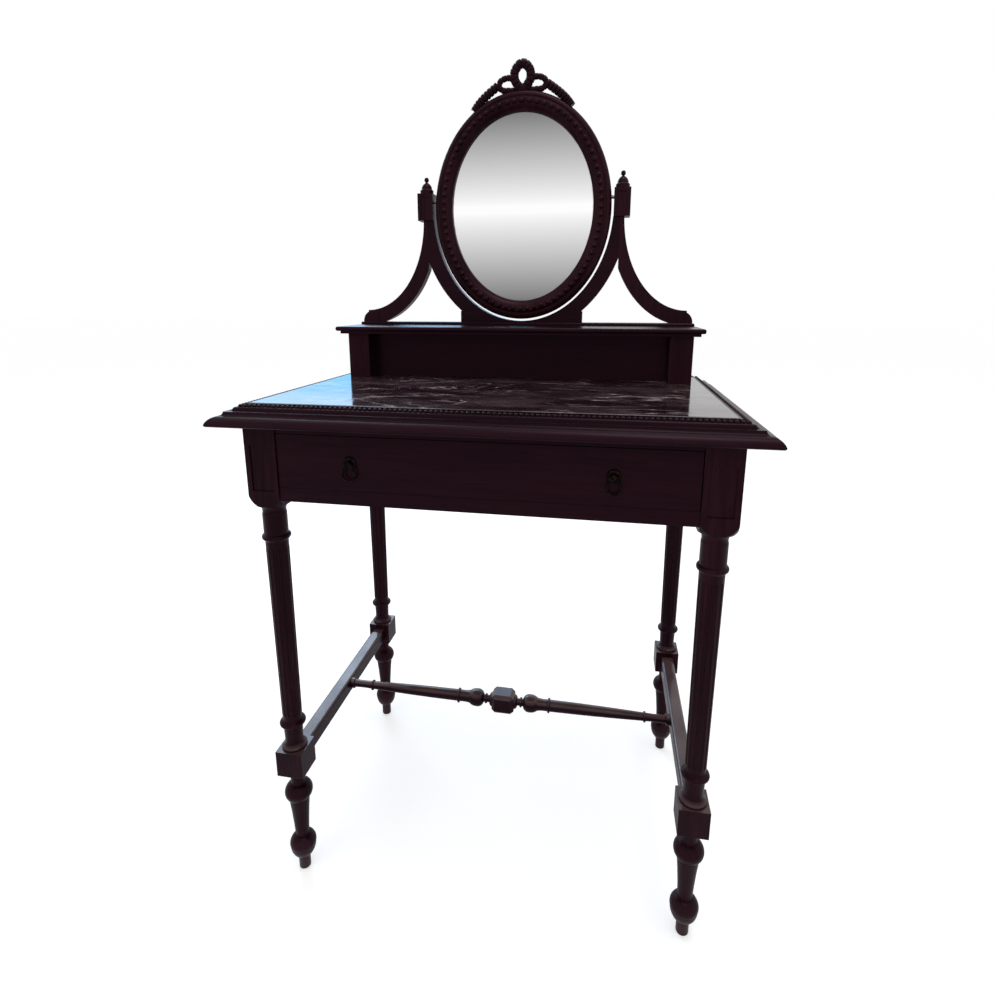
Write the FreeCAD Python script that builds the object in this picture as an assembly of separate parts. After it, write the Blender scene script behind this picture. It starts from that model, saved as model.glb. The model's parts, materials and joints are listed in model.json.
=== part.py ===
import FreeCAD, Part
import math
import os
from FreeCAD import Vector

# Dressing table with a marble top, one drawer, turned legs and a tilting oval mirror.
# Millimetres, +Z up, front towards -Y, origin on the floor under the middle of the top.

# The whole top
TOP_WIDTH = 684.0
TOP_DEPTH = 439.0
TOP_HEIGHT = 745.0
OVERHANG = 32.0
BACK_OVERHANG = 3.0
FIT = 0.2
SLIDE_FIT = 0.4

# Moulded frame round the marble
FRAME_WIDTH = 40.0
FRAME_THICK = 26.0
FRAME_LEDGE = 16.0
BACK_RAIL_WIDTH = 30.0
MARBLE_THICK = 20.0
MARBLE_ROUND = 1.0
LIP_WIDTH = 2.5
BEAD_OFFSET = 7.5
BEAD_RADIUS = 3.1
BEAD_SEAT_WIDTH = 10.0
BEAD_SEAT_DROP = 4.0
GROOVE_DROP = 9.8
FILLET_DROP = 8.6
FILLET_WIDTH = 5.5
STEP_DROP = 13.6
NOSE_DROP = 23.0
NOSE_BULGE = 2.4

# Legs, from the floor up
LEG_BLOCK = 44.0
TOP_BLOCK_HEIGHT = 114.0
TOE_HEIGHT = 22.0
TOE_RADIUS = 8.8
FOOT_BALL_HEIGHT = 38.0
FOOT_BALL_RADIUS = 19.2
FOOT_TAPER_HEIGHT = 70.0
FOOT_NECK_RADIUS = 10.0
FOOT_SHOULDER_RADIUS = 15.2
FOOT_RING_HEIGHT = 25.5
FOOT_RING_RADIUS = 20.4
LOW_NECK_HEIGHT = 25.0
LOW_NECK_RADIUS = 10.5
LOW_BLOCK = 40.8
LOW_BLOCK_HEIGHT = 41.0
COLLAR_HEIGHT = 14.0
COLLAR_RADIUS = 18.3
ANKLE_HEIGHT = 23.5
ANKLE_RADIUS = 12.9
RING_HEIGHT = 9.0
RING_RADIUS = 18.6
COLUMN_LOW_RADIUS = 13.8
COLUMN_TOP_RADIUS = 15.5
UPPER_RING_HEIGHT = 11.0
UPPER_RING_RADIUS = 19.3
COLUMN_NECK_HEIGHT = 42.0
COLUMN_NECK_RADIUS = 16.2
FLARE_RADIUS = 20.4
FLARE_HEIGHT = 14.0
SHOULDER_HEIGHT = 22.0
FLUTE_COUNT = 12
FLUTE_RADIUS = 2.5
FLUTE_DEPTH = 1.6
FLUTE_STOP = 12.0
PANEL_WIDTH = 30.0
PANEL_HEIGHT = 62.0
PANEL_DEPTH = 2.0
PANEL_DROP = 29.0

# Rails between the legs
APRON_HEIGHT = 104.0
APRON_THICK = 18.0
APRON_SETBACK = 4.0
TENON_THICK = 8.0
TENON_LENGTH = 14.0
TENON_SHOULDER = 6.0
FRONT_RAIL_DEPTH = 30.0
FRONT_RAIL_SETBACK = 2.0
LOWER_RAIL_HEIGHT = 19.0
UPPER_RAIL_HEIGHT = 12.0
RAIL_TENON_SHOULDER = 2.0
RUNNER_WIDTH = 20.0
GUIDE_HEIGHT = 10.0

# H-shaped stretcher
STRETCHER_WIDTH = 22.0
STRETCHER_HEIGHT = 23.0
STRETCHER_ROUND = 4.0
BAR_TENON_RADIUS = 5.0
BAR_TENON_LENGTH = 10.0
BAR_END_RADIUS = 9.0
BAR_END_LENGTH = 7.0
BAR_NECK_LENGTH = 31.0
BAR_NECK_RADIUS = 6.6
BAR_RING_RADIUS = 9.0
BAR_RING_LENGTH = 4.5
BAR_SWELL_RADIUS = 9.6
BAR_INNER_RING_RADIUS = 12.3
BAR_BELL_LENGTH = 17.0
BAR_BELL_RADIUS = 10.4
BAR_BALL_RADIUS = 14.5
BAR_BALL_LENGTH = 25.0
BAR_WAIST_LENGTH = 15.0
BAR_WAIST_RADIUS = 6.0
BAR_SHOULDER_LENGTH = 5.0
BAR_SHOULDER_RADIUS = 12.0
BAR_DISC_RADIUS = 8.4
BAR_DISC_LENGTH = 3.5
BAR_BLOCK = 34.0
BAR_BLOCK_LENGTH = 38.0
BAR_BLOCK_CHAMFER = 5.5

# Drawer
DRAWER_FRONT_THICK = 20.0
DRAWER_SIDE_THICK = 10.0
DRAWER_BACK_THICK = 10.0
DRAWER_BOTTOM_THICK = 5.0
DRAWER_BOTTOM_LIFT = 7.0
DRAWER_GAP = 0.8
DRAWER_REAR_GAP = 12.0
GROOVE_DEPTH = 5.0
TAIL_COUNT = 3
TAIL_LENGTH = 13.0
TAIL_WIDTH = 15.0
TAIL_SPREAD = 2.5
PULL_SPAN = 330.8
PULL_LIFT = 37.6
PULL_PLATE_RADIUS = 8.6
PULL_PLATE_THICK = 2.5
PULL_BOSS_RADIUS = 3.6
PULL_BOSS_LENGTH = 8.0
PULL_POST_RADIUS = 2.5
PULL_NUT_RADIUS = 5.5
PULL_NUT_THICK = 3.5
PULL_WIRE_RADIUS = 1.5
PULL_PIN_FIT = 0.06
PULL_PIN_NOSE = 2.7
PULL_RING_WIDTH = 19.0
PULL_RING_DROP = 24.0
PULL_BAR_LENGTH = 10.0

# Raised shelf at the back of the marble
SHELF_END_GAP = 42.0
SHELF_DEPTH = 138.0
SHELF_RISE = 86.5
SHELF_BACK_GAP = 1.5
SHELF_FRONT_OVERHANG = 17.5
SHELF_SIDE_OVERHANG = 15.0
SHELF_REAR_OVERHANG = 2.0
SHELF_NOSE_THICK = 7.5
SHELF_UNDER_THICK = 4.5
SHELF_UNDER_INSET = 6.0
SHELF_NOSE_ROUND = 3.0
PILASTER_WIDTH = 36.0
PILASTER_DEPTH = 40.0
RISER_SETBACK = 27.5
RISER_THICK = 12.0
SHELF_SIDE_THICK = 14.0
SHELF_BACK_THICK = 12.0

# Mirror stand on the shelf
STAND_BACK_GAP = 7.0
STAND_BASE_END_GAP = 4.0
STAND_BASE_DEPTH = 30.0
STAND_BASE_THICK = 5.0
STAND_BASE_CHAMFER = 1.5
STAND_THICK = 18.0
PEDESTAL_WIDTH = 216.0
PEDESTAL_HEIGHT = 19.5
CRADLE_FLOOR = 2.5
CRADLE_SIDE_BAND = 25.0
CRADLE_LOW_BAND = 23.5
POST_GAP = 3.5
POST_BLOCK = 27.0
POST_BLOCK_HEIGHT = 45.0
POST_PANEL_MARGIN = 6.0
POST_PANEL_DEPTH = 1.2
POST_SPLIT = 2.5
PIVOT_ABOVE_BLOCK = 32.0
BRACKET_END_GAP = 3.0
BRACKET_RISE = 4.0
BRACKET_TOP_BAND = 7.0
BRACKET_LOW_BAND = 16.0
BRACKET_FOOT_BAND = 25.0
BRACKET_FOOT_CUT = 4.0
BRACKET_TOE = 10.0
BRACKET_TOE_STEP = 3.0
FINIAL_BASE_RADIUS = 11.5
FINIAL_BASE_HEIGHT = 8.0
FINIAL_DOME_RADIUS = 9.2
FINIAL_DOME_HEIGHT = 11.0
FINIAL_NECK_RADIUS = 2.0
FINIAL_TIP_RADIUS = 3.8

# Oval mirror
MIRROR_WIDTH = 303.0
MIRROR_HEIGHT = 369.0
MIRROR_GAP = 3.5
MIRROR_BELOW_PIVOT = 16.0
MIRROR_RIM = 30.3
MIRROR_RIM_TOP = 31.5
MIRROR_THICK = 22.0
MIRROR_PROUD = 14.0
RIM_BEVEL = 5.0
RIM_ROLL = 10.0
SIGHT_BEVEL = 9.0
SIGHT_DEPTH = 6.0
REBATE = 7.0
REBATE_DEPTH = 11.0
GLASS_THICK = 4.0
BACKBOARD_THICK = 5.0
PEARL_RADIUS = 4.0
PEARL_OFFSET = 13.0
PIN_RADIUS = 3.0
PIN_LENGTH = 30.0
PIN_FIT = 0.06
PIN_SEAT = 14.0

# Ribbon bow on top of the mirror
CREST_THICK = 12.0
CREST_SETBACK = 3.0
CREST_RISE = 47.0
LOOP_WIDTH = 42.0
LOOP_HEIGHT = 47.0
LOOP_EYE_WIDTH = 13.0
LOOP_EYE_HEIGHT = 23.5
SIDE_LOOP_WIDTH = 42.0
SIDE_LOOP_HEIGHT = 27.0
SIDE_LOOP_OUT = 32.0
SIDE_LOOP_UP = 9.0
SIDE_LOOP_TILT = 16.0
SIDE_EYE_WIDTH = 24.0
SIDE_EYE_HEIGHT = 11.5
SIDE_EYE_OUT = 25.0
SIDE_EYE_UP = 9.5
KNOT_WIDTH = 26.0
KNOT_HEIGHT = 16.0
RIBBON_REACH = 84.0
RIBBON_BAND = 14.0
RIBBON_BULGE = 8.0
RIBBON_HOLLOW = 3.0

# Levels and planes that follow from the sizes above
HALF_WIDTH = TOP_WIDTH / 2
FRONT = -TOP_DEPTH / 2
BACK = TOP_DEPTH / 2
FRAME_UNDER = TOP_HEIGHT - FRAME_THICK
LEDGE_TOP = TOP_HEIGHT - MARBLE_THICK
MARBLE_HALF = HALF_WIDTH - FRAME_WIDTH
MARBLE_FRONT = FRONT + FRAME_WIDTH
MARBLE_BACK = BACK - BACK_RAIL_WIDTH
HALF_BLOCK = LEG_BLOCK / 2
LEG_X = HALF_WIDTH - OVERHANG - HALF_BLOCK
FRONT_LEG_Y = FRONT + OVERHANG + HALF_BLOCK
BACK_LEG_Y = BACK - BACK_OVERHANG - HALF_BLOCK
LEG_MID_Y = (FRONT_LEG_Y + BACK_LEG_Y) / 2
TOP_BLOCK_Z = FRAME_UNDER - TOP_BLOCK_HEIGHT
FOOT_RING_Z = TOE_HEIGHT + FOOT_BALL_HEIGHT + FOOT_TAPER_HEIGHT
LOW_BLOCK_Z = FOOT_RING_Z + FOOT_RING_HEIGHT + LOW_NECK_HEIGHT
LOW_BLOCK_TOP = LOW_BLOCK_Z + LOW_BLOCK_HEIGHT
COLUMN_Z = LOW_BLOCK_TOP + COLLAR_HEIGHT + ANKLE_HEIGHT + RING_HEIGHT
COLUMN_TOP = TOP_BLOCK_Z - COLUMN_NECK_HEIGHT - UPPER_RING_HEIGHT
STRETCHER_Z = LOW_BLOCK_Z + (LOW_BLOCK_HEIGHT - STRETCHER_HEIGHT) / 2
STRETCHER_MID_Z = STRETCHER_Z + STRETCHER_HEIGHT / 2
APRON_Z = FRAME_UNDER - APRON_HEIGHT
APRON_IN = LEG_X + HALF_BLOCK - APRON_SETBACK - APRON_THICK
BACK_APRON_FACE = BACK_LEG_Y + HALF_BLOCK - APRON_SETBACK - APRON_THICK
OPENING_HALF = LEG_X - HALF_BLOCK
RAIL_FACE = FRONT_LEG_Y - HALF_BLOCK + FRONT_RAIL_SETBACK
LOWER_RAIL_TOP = APRON_Z + LOWER_RAIL_HEIGHT
UPPER_RAIL_Z = FRAME_UNDER - UPPER_RAIL_HEIGHT
DRAWER_Z = LOWER_RAIL_TOP + SLIDE_FIT
DRAWER_TOP = UPPER_RAIL_Z - DRAWER_GAP
DRAWER_HALF = OPENING_HALF - DRAWER_GAP
DRAWER_INNER = RAIL_FACE + DRAWER_FRONT_THICK
DRAWER_END = BACK_APRON_FACE - DRAWER_REAR_GAP
PULL_Z = DRAWER_Z + PULL_LIFT
PULL_PIN_Y = RAIL_FACE - PULL_BOSS_LENGTH + PULL_PIN_NOSE
SHELF_WIDTH = TOP_WIDTH - 2 * SHELF_END_GAP
SHELF_TOP = TOP_HEIGHT + SHELF_RISE
SHELF_UNDER = SHELF_TOP - SHELF_NOSE_THICK - SHELF_UNDER_THICK
SHELF_BACK = BACK - SHELF_BACK_GAP
SHELF_FRONT = SHELF_BACK - SHELF_DEPTH
SHELF_HALF = SHELF_WIDTH / 2 - SHELF_SIDE_OVERHANG
SHELF_REAR = SHELF_BACK - SHELF_REAR_OVERHANG
PILASTER_FACE = SHELF_FRONT + SHELF_FRONT_OVERHANG
PILASTER_REAR = PILASTER_FACE + PILASTER_DEPTH
STAND_BASE_WIDTH = SHELF_WIDTH - 2 * STAND_BASE_END_GAP
STAND_Z = SHELF_TOP + STAND_BASE_THICK
MIRROR_Y = SHELF_BACK - STAND_BACK_GAP - STAND_BASE_DEPTH / 2
STAND_FACE = MIRROR_Y - STAND_THICK / 2
STAND_REAR = MIRROR_Y + STAND_THICK / 2
MIRROR_RX = MIRROR_WIDTH / 2
MIRROR_RZ = MIRROR_HEIGHT / 2
MIRROR_Z = STAND_Z + CRADLE_FLOOR + MIRROR_GAP + MIRROR_RZ
PIVOT_Z = MIRROR_Z + MIRROR_BELOW_PIVOT
PIN_X = MIRROR_RX - PIN_SEAT
POST_X = MIRROR_RX + POST_GAP + POST_BLOCK / 2
BLOCK_Z = PIVOT_Z - PIVOT_ABOVE_BLOCK
SPLIT_X = POST_X - POST_SPLIT
CRADLE_RX = MIRROR_RX + MIRROR_GAP + CRADLE_SIDE_BAND
CRADLE_RZ = MIRROR_RZ + MIRROR_GAP + CRADLE_LOW_BAND
BRACKET_REACH = STAND_BASE_WIDTH / 2 - BRACKET_END_GAP - BRACKET_TOE - SPLIT_X
BRACKET_TOP_RX = BRACKET_REACH - BRACKET_TOP_BAND
BRACKET_LOW_RX = BRACKET_REACH + BRACKET_LOW_BAND
BRACKET_LOW_RZ = BLOCK_Z + BRACKET_RISE - STAND_Z + BRACKET_FOOT_CUT
BRACKET_TOP_RZ = BRACKET_LOW_RZ - BRACKET_FOOT_BAND
SIGHT_RX = MIRROR_RX - MIRROR_RIM
SIGHT_RZ = MIRROR_RZ - MIRROR_RIM_TOP
MIRROR_FACE = MIRROR_Y - MIRROR_PROUD
MIRROR_BACK = MIRROR_FACE + MIRROR_THICK
CREST_Z = MIRROR_Z + MIRROR_RZ
SIDES = (("left", -1), ("right", 1))


def box(x0, x1, y0, y1, z0, z1):
    """A block between two corners, given in any order."""
    low = Vector(min(x0, x1), min(y0, y1), min(z0, z1))
    return Part.makeBox(abs(x1 - x0), abs(y1 - y0), abs(z1 - z0), low)


def bore(radius, length, x, y, z, direction):
    """A round pin or hole that starts at a point."""
    return Part.makeCylinder(radius, length, Vector(x, y, z), Vector(*direction))


def outline(points, place):
    """A closed wire through (a, b) points; a third number bulges the stretch that ends there."""
    edges = []
    last = points[-1]
    for point in points:
        start = place(last[0], last[1])
        end = place(point[0], point[1])
        bulge = point[2] if len(point) > 2 else 0.0
        if bulge:
            da, db = point[0] - last[0], point[1] - last[1]
            shift = bulge / math.hypot(da, db)
            middle = place((point[0] + last[0]) / 2 + shift * db, (point[1] + last[1]) / 2 - shift * da)
            edges.append(Part.Arc(start, middle, end).toShape())
        else:
            edges.append(Part.makeLine(start, end))
        last = point
    return Part.Wire(edges)


def turned(points):
    """A solid of revolution round Z from a half outline of (radius, height, bulge)."""
    closed = [(0.0, points[0][1])] + points + [(0.0, points[-1][1])]
    wire = outline(closed, lambda r, z: Vector(r, 0, z))
    return Part.Face(wire).revolve(Vector(0, 0, 0), Vector(0, 0, 1), 360)


def board(wire, y0, y1):
    """A flat outline in an X-Z plane at y0, made into a board that ends at y1."""
    return Part.Face(wire).extrude(Vector(0, y1 - y0, 0))


def oval(rx, rz, y, x=0.0, z=MIRROR_Z, tilt=0.0):
    """An ellipse in an X-Z plane, turned by tilt degrees about its own middle."""
    centre = Vector(x, y, z)
    across, up = centre + Vector(rx, 0, 0), centre + Vector(0, 0, rz)
    curve = Part.Ellipse(up, across, centre) if rz >= rx else Part.Ellipse(across, up, centre)
    wire = Part.Wire([curve.toShape()])
    wire.rotate(centre, Vector(0, 1, 0), tilt)
    return wire


def oval_stack(layers):
    """A solid with straight walls between concentric ovals, each given as (rx, rz, y)."""
    return Part.makeLoft([oval(rx, rz, y) for rx, rz, y in layers], True, True)


def mirrored(shape, side):
    """The shape as modelled for the right, or its mirror image for the left."""
    return shape if side > 0 else shape.mirror(Vector(0, 0, 0), Vector(1, 0, 0))


def save(name, shape):
    """Write one named piece, without the seams left by joining."""
    shape.removeSplitter().exportStep("parts/" + name + ".step")


def side_apron_tenons(side):
    """The two tenons of a side apron, front end first."""
    inner = side * (APRON_IN + (APRON_THICK - TENON_THICK) / 2)
    outer = inner + side * TENON_THICK
    z0, z1 = APRON_Z + TENON_SHOULDER, FRAME_UNDER - TENON_SHOULDER
    front_end, back_end = FRONT_LEG_Y + HALF_BLOCK, BACK_LEG_Y - HALF_BLOCK
    front = (inner, outer, front_end - TENON_LENGTH, front_end, z0, z1)
    back = (inner, outer, back_end, back_end + TENON_LENGTH, z0, z1)
    return front, back


def back_apron_tenon(side):
    """The tenon at one end of the back apron."""
    y0 = BACK_APRON_FACE + (APRON_THICK - TENON_THICK) / 2
    z0, z1 = APRON_Z + TENON_SHOULDER, FRAME_UNDER - TENON_SHOULDER
    return (side * OPENING_HALF, side * (OPENING_HALF + TENON_LENGTH), y0, y0 + TENON_THICK, z0, z1)


def front_rail_tenon(side, low, high):
    """The tenon at one end of a rail above or below the drawer."""
    y0 = RAIL_FACE + TENON_THICK
    z0, z1 = low + RAIL_TENON_SHOULDER, high - RAIL_TENON_SHOULDER
    return (side * OPENING_HALF, side * (OPENING_HALF + TENON_LENGTH), y0, y0 + TENON_THICK, z0, z1)


def stretcher_tenons(side):
    """The two tenons of a side stretcher, front end first."""
    x0, x1 = side * LEG_X - TENON_THICK / 2, side * LEG_X + TENON_THICK / 2
    z0 = STRETCHER_Z + TENON_SHOULDER
    z1 = STRETCHER_Z + STRETCHER_HEIGHT - TENON_SHOULDER
    front_end, back_end = FRONT_LEG_Y + LOW_BLOCK / 2, BACK_LEG_Y - LOW_BLOCK / 2
    front = (x0, x1, front_end - TENON_LENGTH, front_end, z0, z1)
    back = (x0, x1, back_end, back_end + TENON_LENGTH, z0, z1)
    return front, back


def mortise(tenon):
    """The hole for a tenon: the tenon's box grown by the fit."""
    x0, x1, y0, y1, z0, z1 = tenon
    low_x, high_x = min(x0, x1), max(x0, x1)
    return box(low_x - FIT, high_x + FIT, y0 - FIT, y1 + FIT, z0 - FIT, z1 + FIT)


def leg_turning():
    """The turned leg about its own axis: toe, ball, taper, rings, column and neck."""
    ball_top = TOE_HEIGHT + FOOT_BALL_HEIGHT
    belly = TOE_HEIGHT + 0.55 * FOOT_BALL_HEIGHT
    foot = [(TOE_RADIUS - 1.5, 0.0), (TOE_RADIUS, 2.0, 0.4), (TOE_RADIUS, TOE_HEIGHT)]
    foot += [(FOOT_BALL_RADIUS, belly, 2.6), (FOOT_NECK_RADIUS, ball_top, 4.0)]
    foot.append((FOOT_SHOULDER_RADIUS, FOOT_RING_Z, -0.6))
    ring_top = FOOT_RING_Z + FOOT_RING_HEIGHT
    ring_bulge = FOOT_RING_RADIUS - (FOOT_SHOULDER_RADIUS + LOW_NECK_RADIUS) / 2
    foot += [(LOW_NECK_RADIUS, ring_top, ring_bulge), (LOW_NECK_RADIUS, LOW_BLOCK_Z - 4)]
    foot += [(LOW_NECK_RADIUS + 4, LOW_BLOCK_Z, -1.0), (LOW_NECK_RADIUS + 4, LOW_BLOCK_TOP - 1)]
    collar_top = LOW_BLOCK_TOP + COLLAR_HEIGHT
    ring_low = collar_top + ANKLE_HEIGHT
    bead = COLLAR_RADIUS - 1.5
    shaft = [(bead, LOW_BLOCK_TOP - 1), (bead, LOW_BLOCK_TOP + 4, 1.5), (ANKLE_RADIUS, collar_top, -1.4)]
    shaft += [(ANKLE_RADIUS + 0.8, ring_low), (RING_RADIUS - 3, ring_low + 0.5)]
    shaft += [(RING_RADIUS - 3, COLUMN_Z - 1.5, 3.0), (COLUMN_LOW_RADIUS, COLUMN_Z)]
    shaft.append((COLUMN_TOP_RADIUS, COLUMN_TOP))
    neck_low = COLUMN_TOP + UPPER_RING_HEIGHT
    shaft += [(UPPER_RING_RADIUS - 3, COLUMN_TOP + 1.5), (UPPER_RING_RADIUS - 3, neck_low - 1.5, 3.0)]
    shaft += [(COLUMN_NECK_RADIUS, neck_low), (COLUMN_NECK_RADIUS, TOP_BLOCK_Z - FLARE_HEIGHT)]
    shaft += [(FLARE_RADIUS, TOP_BLOCK_Z, -2.4), (FLARE_RADIUS, TOP_BLOCK_Z + 2)]
    return turned(foot + shaft)


def flutes():
    """Round-bottomed, round-ended grooves that follow the column's taper between its rings."""
    sink = FLUTE_RADIUS - FLUTE_DEPTH
    low = Vector(COLUMN_LOW_RADIUS + sink, 0, COLUMN_Z + FLUTE_STOP)
    high = Vector(COLUMN_TOP_RADIUS + sink, 0, COLUMN_TOP - FLUTE_STOP)
    run = high - low
    groove = Part.makeCylinder(FLUTE_RADIUS, run.Length, low, run)
    groove = groove.fuse([Part.makeSphere(FLUTE_RADIUS, low), Part.makeSphere(FLUTE_RADIUS, high)])
    cuts = []
    for index in range(FLUTE_COUNT):
        cut = groove.copy()
        cut.rotate(Vector(0, 0, 0), Vector(0, 0, 1), (index + 0.5) * 360.0 / FLUTE_COUNT)
        cuts.append(cut)
    return cuts


def top_block():
    """The square head of a leg, its lower corners rounded off on the lathe."""
    corner = HALF_BLOCK * math.sqrt(2) + 1
    square = box(-HALF_BLOCK, HALF_BLOCK, -HALF_BLOCK, HALF_BLOCK, TOP_BLOCK_Z, FRAME_UNDER)
    shoulder = (corner, TOP_BLOCK_Z + SHOULDER_HEIGHT, 2.0)
    return square.common(turned([(HALF_BLOCK + 1, TOP_BLOCK_Z), shoulder, (corner, FRAME_UNDER)]))


def leg(side, end):
    """One leg in place: end is -1 for the front pair and 1 for the back pair."""
    low = LOW_BLOCK / 2
    low_block = box(-low, low, -low, low, LOW_BLOCK_Z, LOW_BLOCK_TOP)
    body = leg_turning().cut(flutes()).fuse([top_block(), low_block])
    panel_top = FRAME_UNDER - PANEL_DROP
    panel_low = panel_top - PANEL_HEIGHT
    half = PANEL_WIDTH / 2
    outer = side * HALF_BLOCK
    recesses = [box(outer - side * PANEL_DEPTH, outer, -half, half, panel_low, panel_top)]
    if end < 0:
        recesses.append(box(-half, half, -HALF_BLOCK, PANEL_DEPTH - HALF_BLOCK, panel_low, panel_top))
    body = body.cut(recesses)
    body.translate(Vector(side * LEG_X, FRONT_LEG_Y if end < 0 else BACK_LEG_Y, 0))
    pick = 0 if end < 0 else 1
    tenons = [side_apron_tenons(side)[pick], stretcher_tenons(side)[pick]]
    if end < 0:
        tenons.append(front_rail_tenon(side, APRON_Z, LOWER_RAIL_TOP))
        tenons.append(front_rail_tenon(side, UPPER_RAIL_Z, FRAME_UNDER))
    else:
        tenons.append(back_apron_tenon(side))
    return body.cut([mortise(tenon) for tenon in tenons])


def side_apron(side):
    """The rail along one end of the table."""
    y0, y1 = FRONT_LEG_Y + HALF_BLOCK, BACK_LEG_Y - HALF_BLOCK
    rail = box(side * APRON_IN, side * (APRON_IN + APRON_THICK), y0, y1, APRON_Z, FRAME_UNDER)
    return rail.fuse([box(*tenon) for tenon in side_apron_tenons(side)])


def back_apron():
    """The rail across the back."""
    rear = BACK_APRON_FACE + APRON_THICK
    rail = box(-OPENING_HALF, OPENING_HALF, BACK_APRON_FACE, rear, APRON_Z, FRAME_UNDER)
    return rail.fuse([box(*back_apron_tenon(side)) for name, side in SIDES])


def front_rail(z0, z1):
    """A rail above or below the drawer."""
    rail = box(-OPENING_HALF, OPENING_HALF, RAIL_FACE, RAIL_FACE + FRONT_RAIL_DEPTH, z0, z1)
    return rail.fuse([box(*front_rail_tenon(side, z0, z1)) for name, side in SIDES])


def runner(side):
    """The bearer under one drawer side, with the guide that keeps the drawer straight."""
    y0, y1 = FRONT_LEG_Y + HALF_BLOCK, BACK_LEG_Y - HALF_BLOCK
    inner = side * (OPENING_HALF - RUNNER_WIDTH)
    rear = RAIL_FACE + FRONT_RAIL_DEPTH
    bearer = box(inner, side * OPENING_HALF, rear, BACK_APRON_FACE, APRON_Z, LOWER_RAIL_TOP)
    guide_top = LOWER_RAIL_TOP + GUIDE_HEIGHT
    guide = box(side * OPENING_HALF, side * APRON_IN, y0, y1, APRON_Z, guide_top)
    return bearer.fuse(guide)


def kicker(side):
    """The rail above one drawer side that stops the open drawer from tipping."""
    inner = side * (OPENING_HALF - RUNNER_WIDTH)
    rear = RAIL_FACE + FRONT_RAIL_DEPTH
    return box(inner, side * OPENING_HALF, rear, BACK_APRON_FACE, UPPER_RAIL_Z, FRAME_UNDER)


def side_stretcher(side):
    """The bar between a front and a back leg, its top edges rounded, bored for the middle bar."""
    y0, y1 = FRONT_LEG_Y + LOW_BLOCK / 2, BACK_LEG_Y - LOW_BLOCK / 2
    half = STRETCHER_WIDTH / 2
    top = STRETCHER_Z + STRETCHER_HEIGHT
    section = [(-half, STRETCHER_Z), (half, STRETCHER_Z), (half, top - STRETCHER_ROUND)]
    section += [(half - STRETCHER_ROUND, top, 1.2), (-half + STRETCHER_ROUND, top)]
    section.append((-half, top - STRETCHER_ROUND, 1.2))
    bar = board(outline(section, lambda x, z: Vector(side * LEG_X + x, y0, z)), y0, y1)
    bar = bar.fuse([box(*tenon) for tenon in stretcher_tenons(side)])
    start = side * (LEG_X - half - FIT)
    depth = BAR_TENON_LENGTH + 2 * FIT
    return bar.cut(bore(BAR_TENON_RADIUS + FIT, depth, start, LEG_MID_Y, STRETCHER_MID_Z, (side, 0, 0)))


def centre_stretcher():
    """The turned middle bar: a square block, and each way a disc, a ball and bell, and a long taper."""
    reach = LEG_X - STRETCHER_WIDTH / 2
    collar = reach - BAR_END_LENGTH
    ring_out = collar - BAR_NECK_LENGTH
    ring_in = ring_out - BAR_RING_LENGTH
    waist = BAR_BLOCK_LENGTH / 2 + BAR_WAIST_LENGTH
    ball = waist + BAR_BALL_LENGTH
    bell = ball + BAR_BELL_LENGTH
    shaft = bell + BAR_RING_LENGTH
    shoulder = BAR_BLOCK_LENGTH / 2 + BAR_SHOULDER_LENGTH
    disc = waist - 2 - BAR_DISC_LENGTH
    arm = [(BAR_SHOULDER_RADIUS, 0.0), (BAR_SHOULDER_RADIUS, shoulder - BAR_SHOULDER_LENGTH)]
    arm += [(BAR_WAIST_RADIUS, shoulder, 1.6), (BAR_WAIST_RADIUS, disc), (BAR_DISC_RADIUS - 1, disc)]
    arm += [(BAR_DISC_RADIUS - 1, waist - 2, 1.0), (BAR_WAIST_RADIUS, waist - 2), (BAR_WAIST_RADIUS, waist)]
    arm += [(BAR_BALL_RADIUS, waist + BAR_BALL_LENGTH / 2, 3.0), (BAR_BELL_RADIUS, ball, 1.2)]
    arm += [(BAR_SWELL_RADIUS, bell, -0.6), (BAR_INNER_RING_RADIUS - 1.5, bell + 0.5)]
    arm += [(BAR_INNER_RING_RADIUS - 1.5, shaft - 0.5, 1.5), (BAR_SWELL_RADIUS, shaft)]
    arm += [(BAR_NECK_RADIUS, ring_in, 0.6), (BAR_RING_RADIUS - 1.5, ring_in + 0.5)]
    arm += [(BAR_RING_RADIUS - 1.5, ring_out - 0.5, 1.5), (BAR_NECK_RADIUS, ring_out)]
    arm += [(BAR_NECK_RADIUS, collar, -0.5), (BAR_END_RADIUS, collar + 1), (BAR_END_RADIUS, reach)]
    arm += [(BAR_TENON_RADIUS, reach), (BAR_TENON_RADIUS, reach + BAR_TENON_LENGTH)]
    right = turned(arm)
    right.rotate(Vector(0, 0, 0), Vector(0, 1, 0), 90)
    length, half = BAR_BLOCK_LENGTH / 2, BAR_BLOCK / 2
    block = box(-length, length, -half, half, -half, half)
    bar = block.makeChamfer(BAR_BLOCK_CHAMFER, block.Edges).fuse([right, mirrored(right, -1)])
    bar.translate(Vector(0, LEG_MID_Y, STRETCHER_MID_Z))
    return bar


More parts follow.
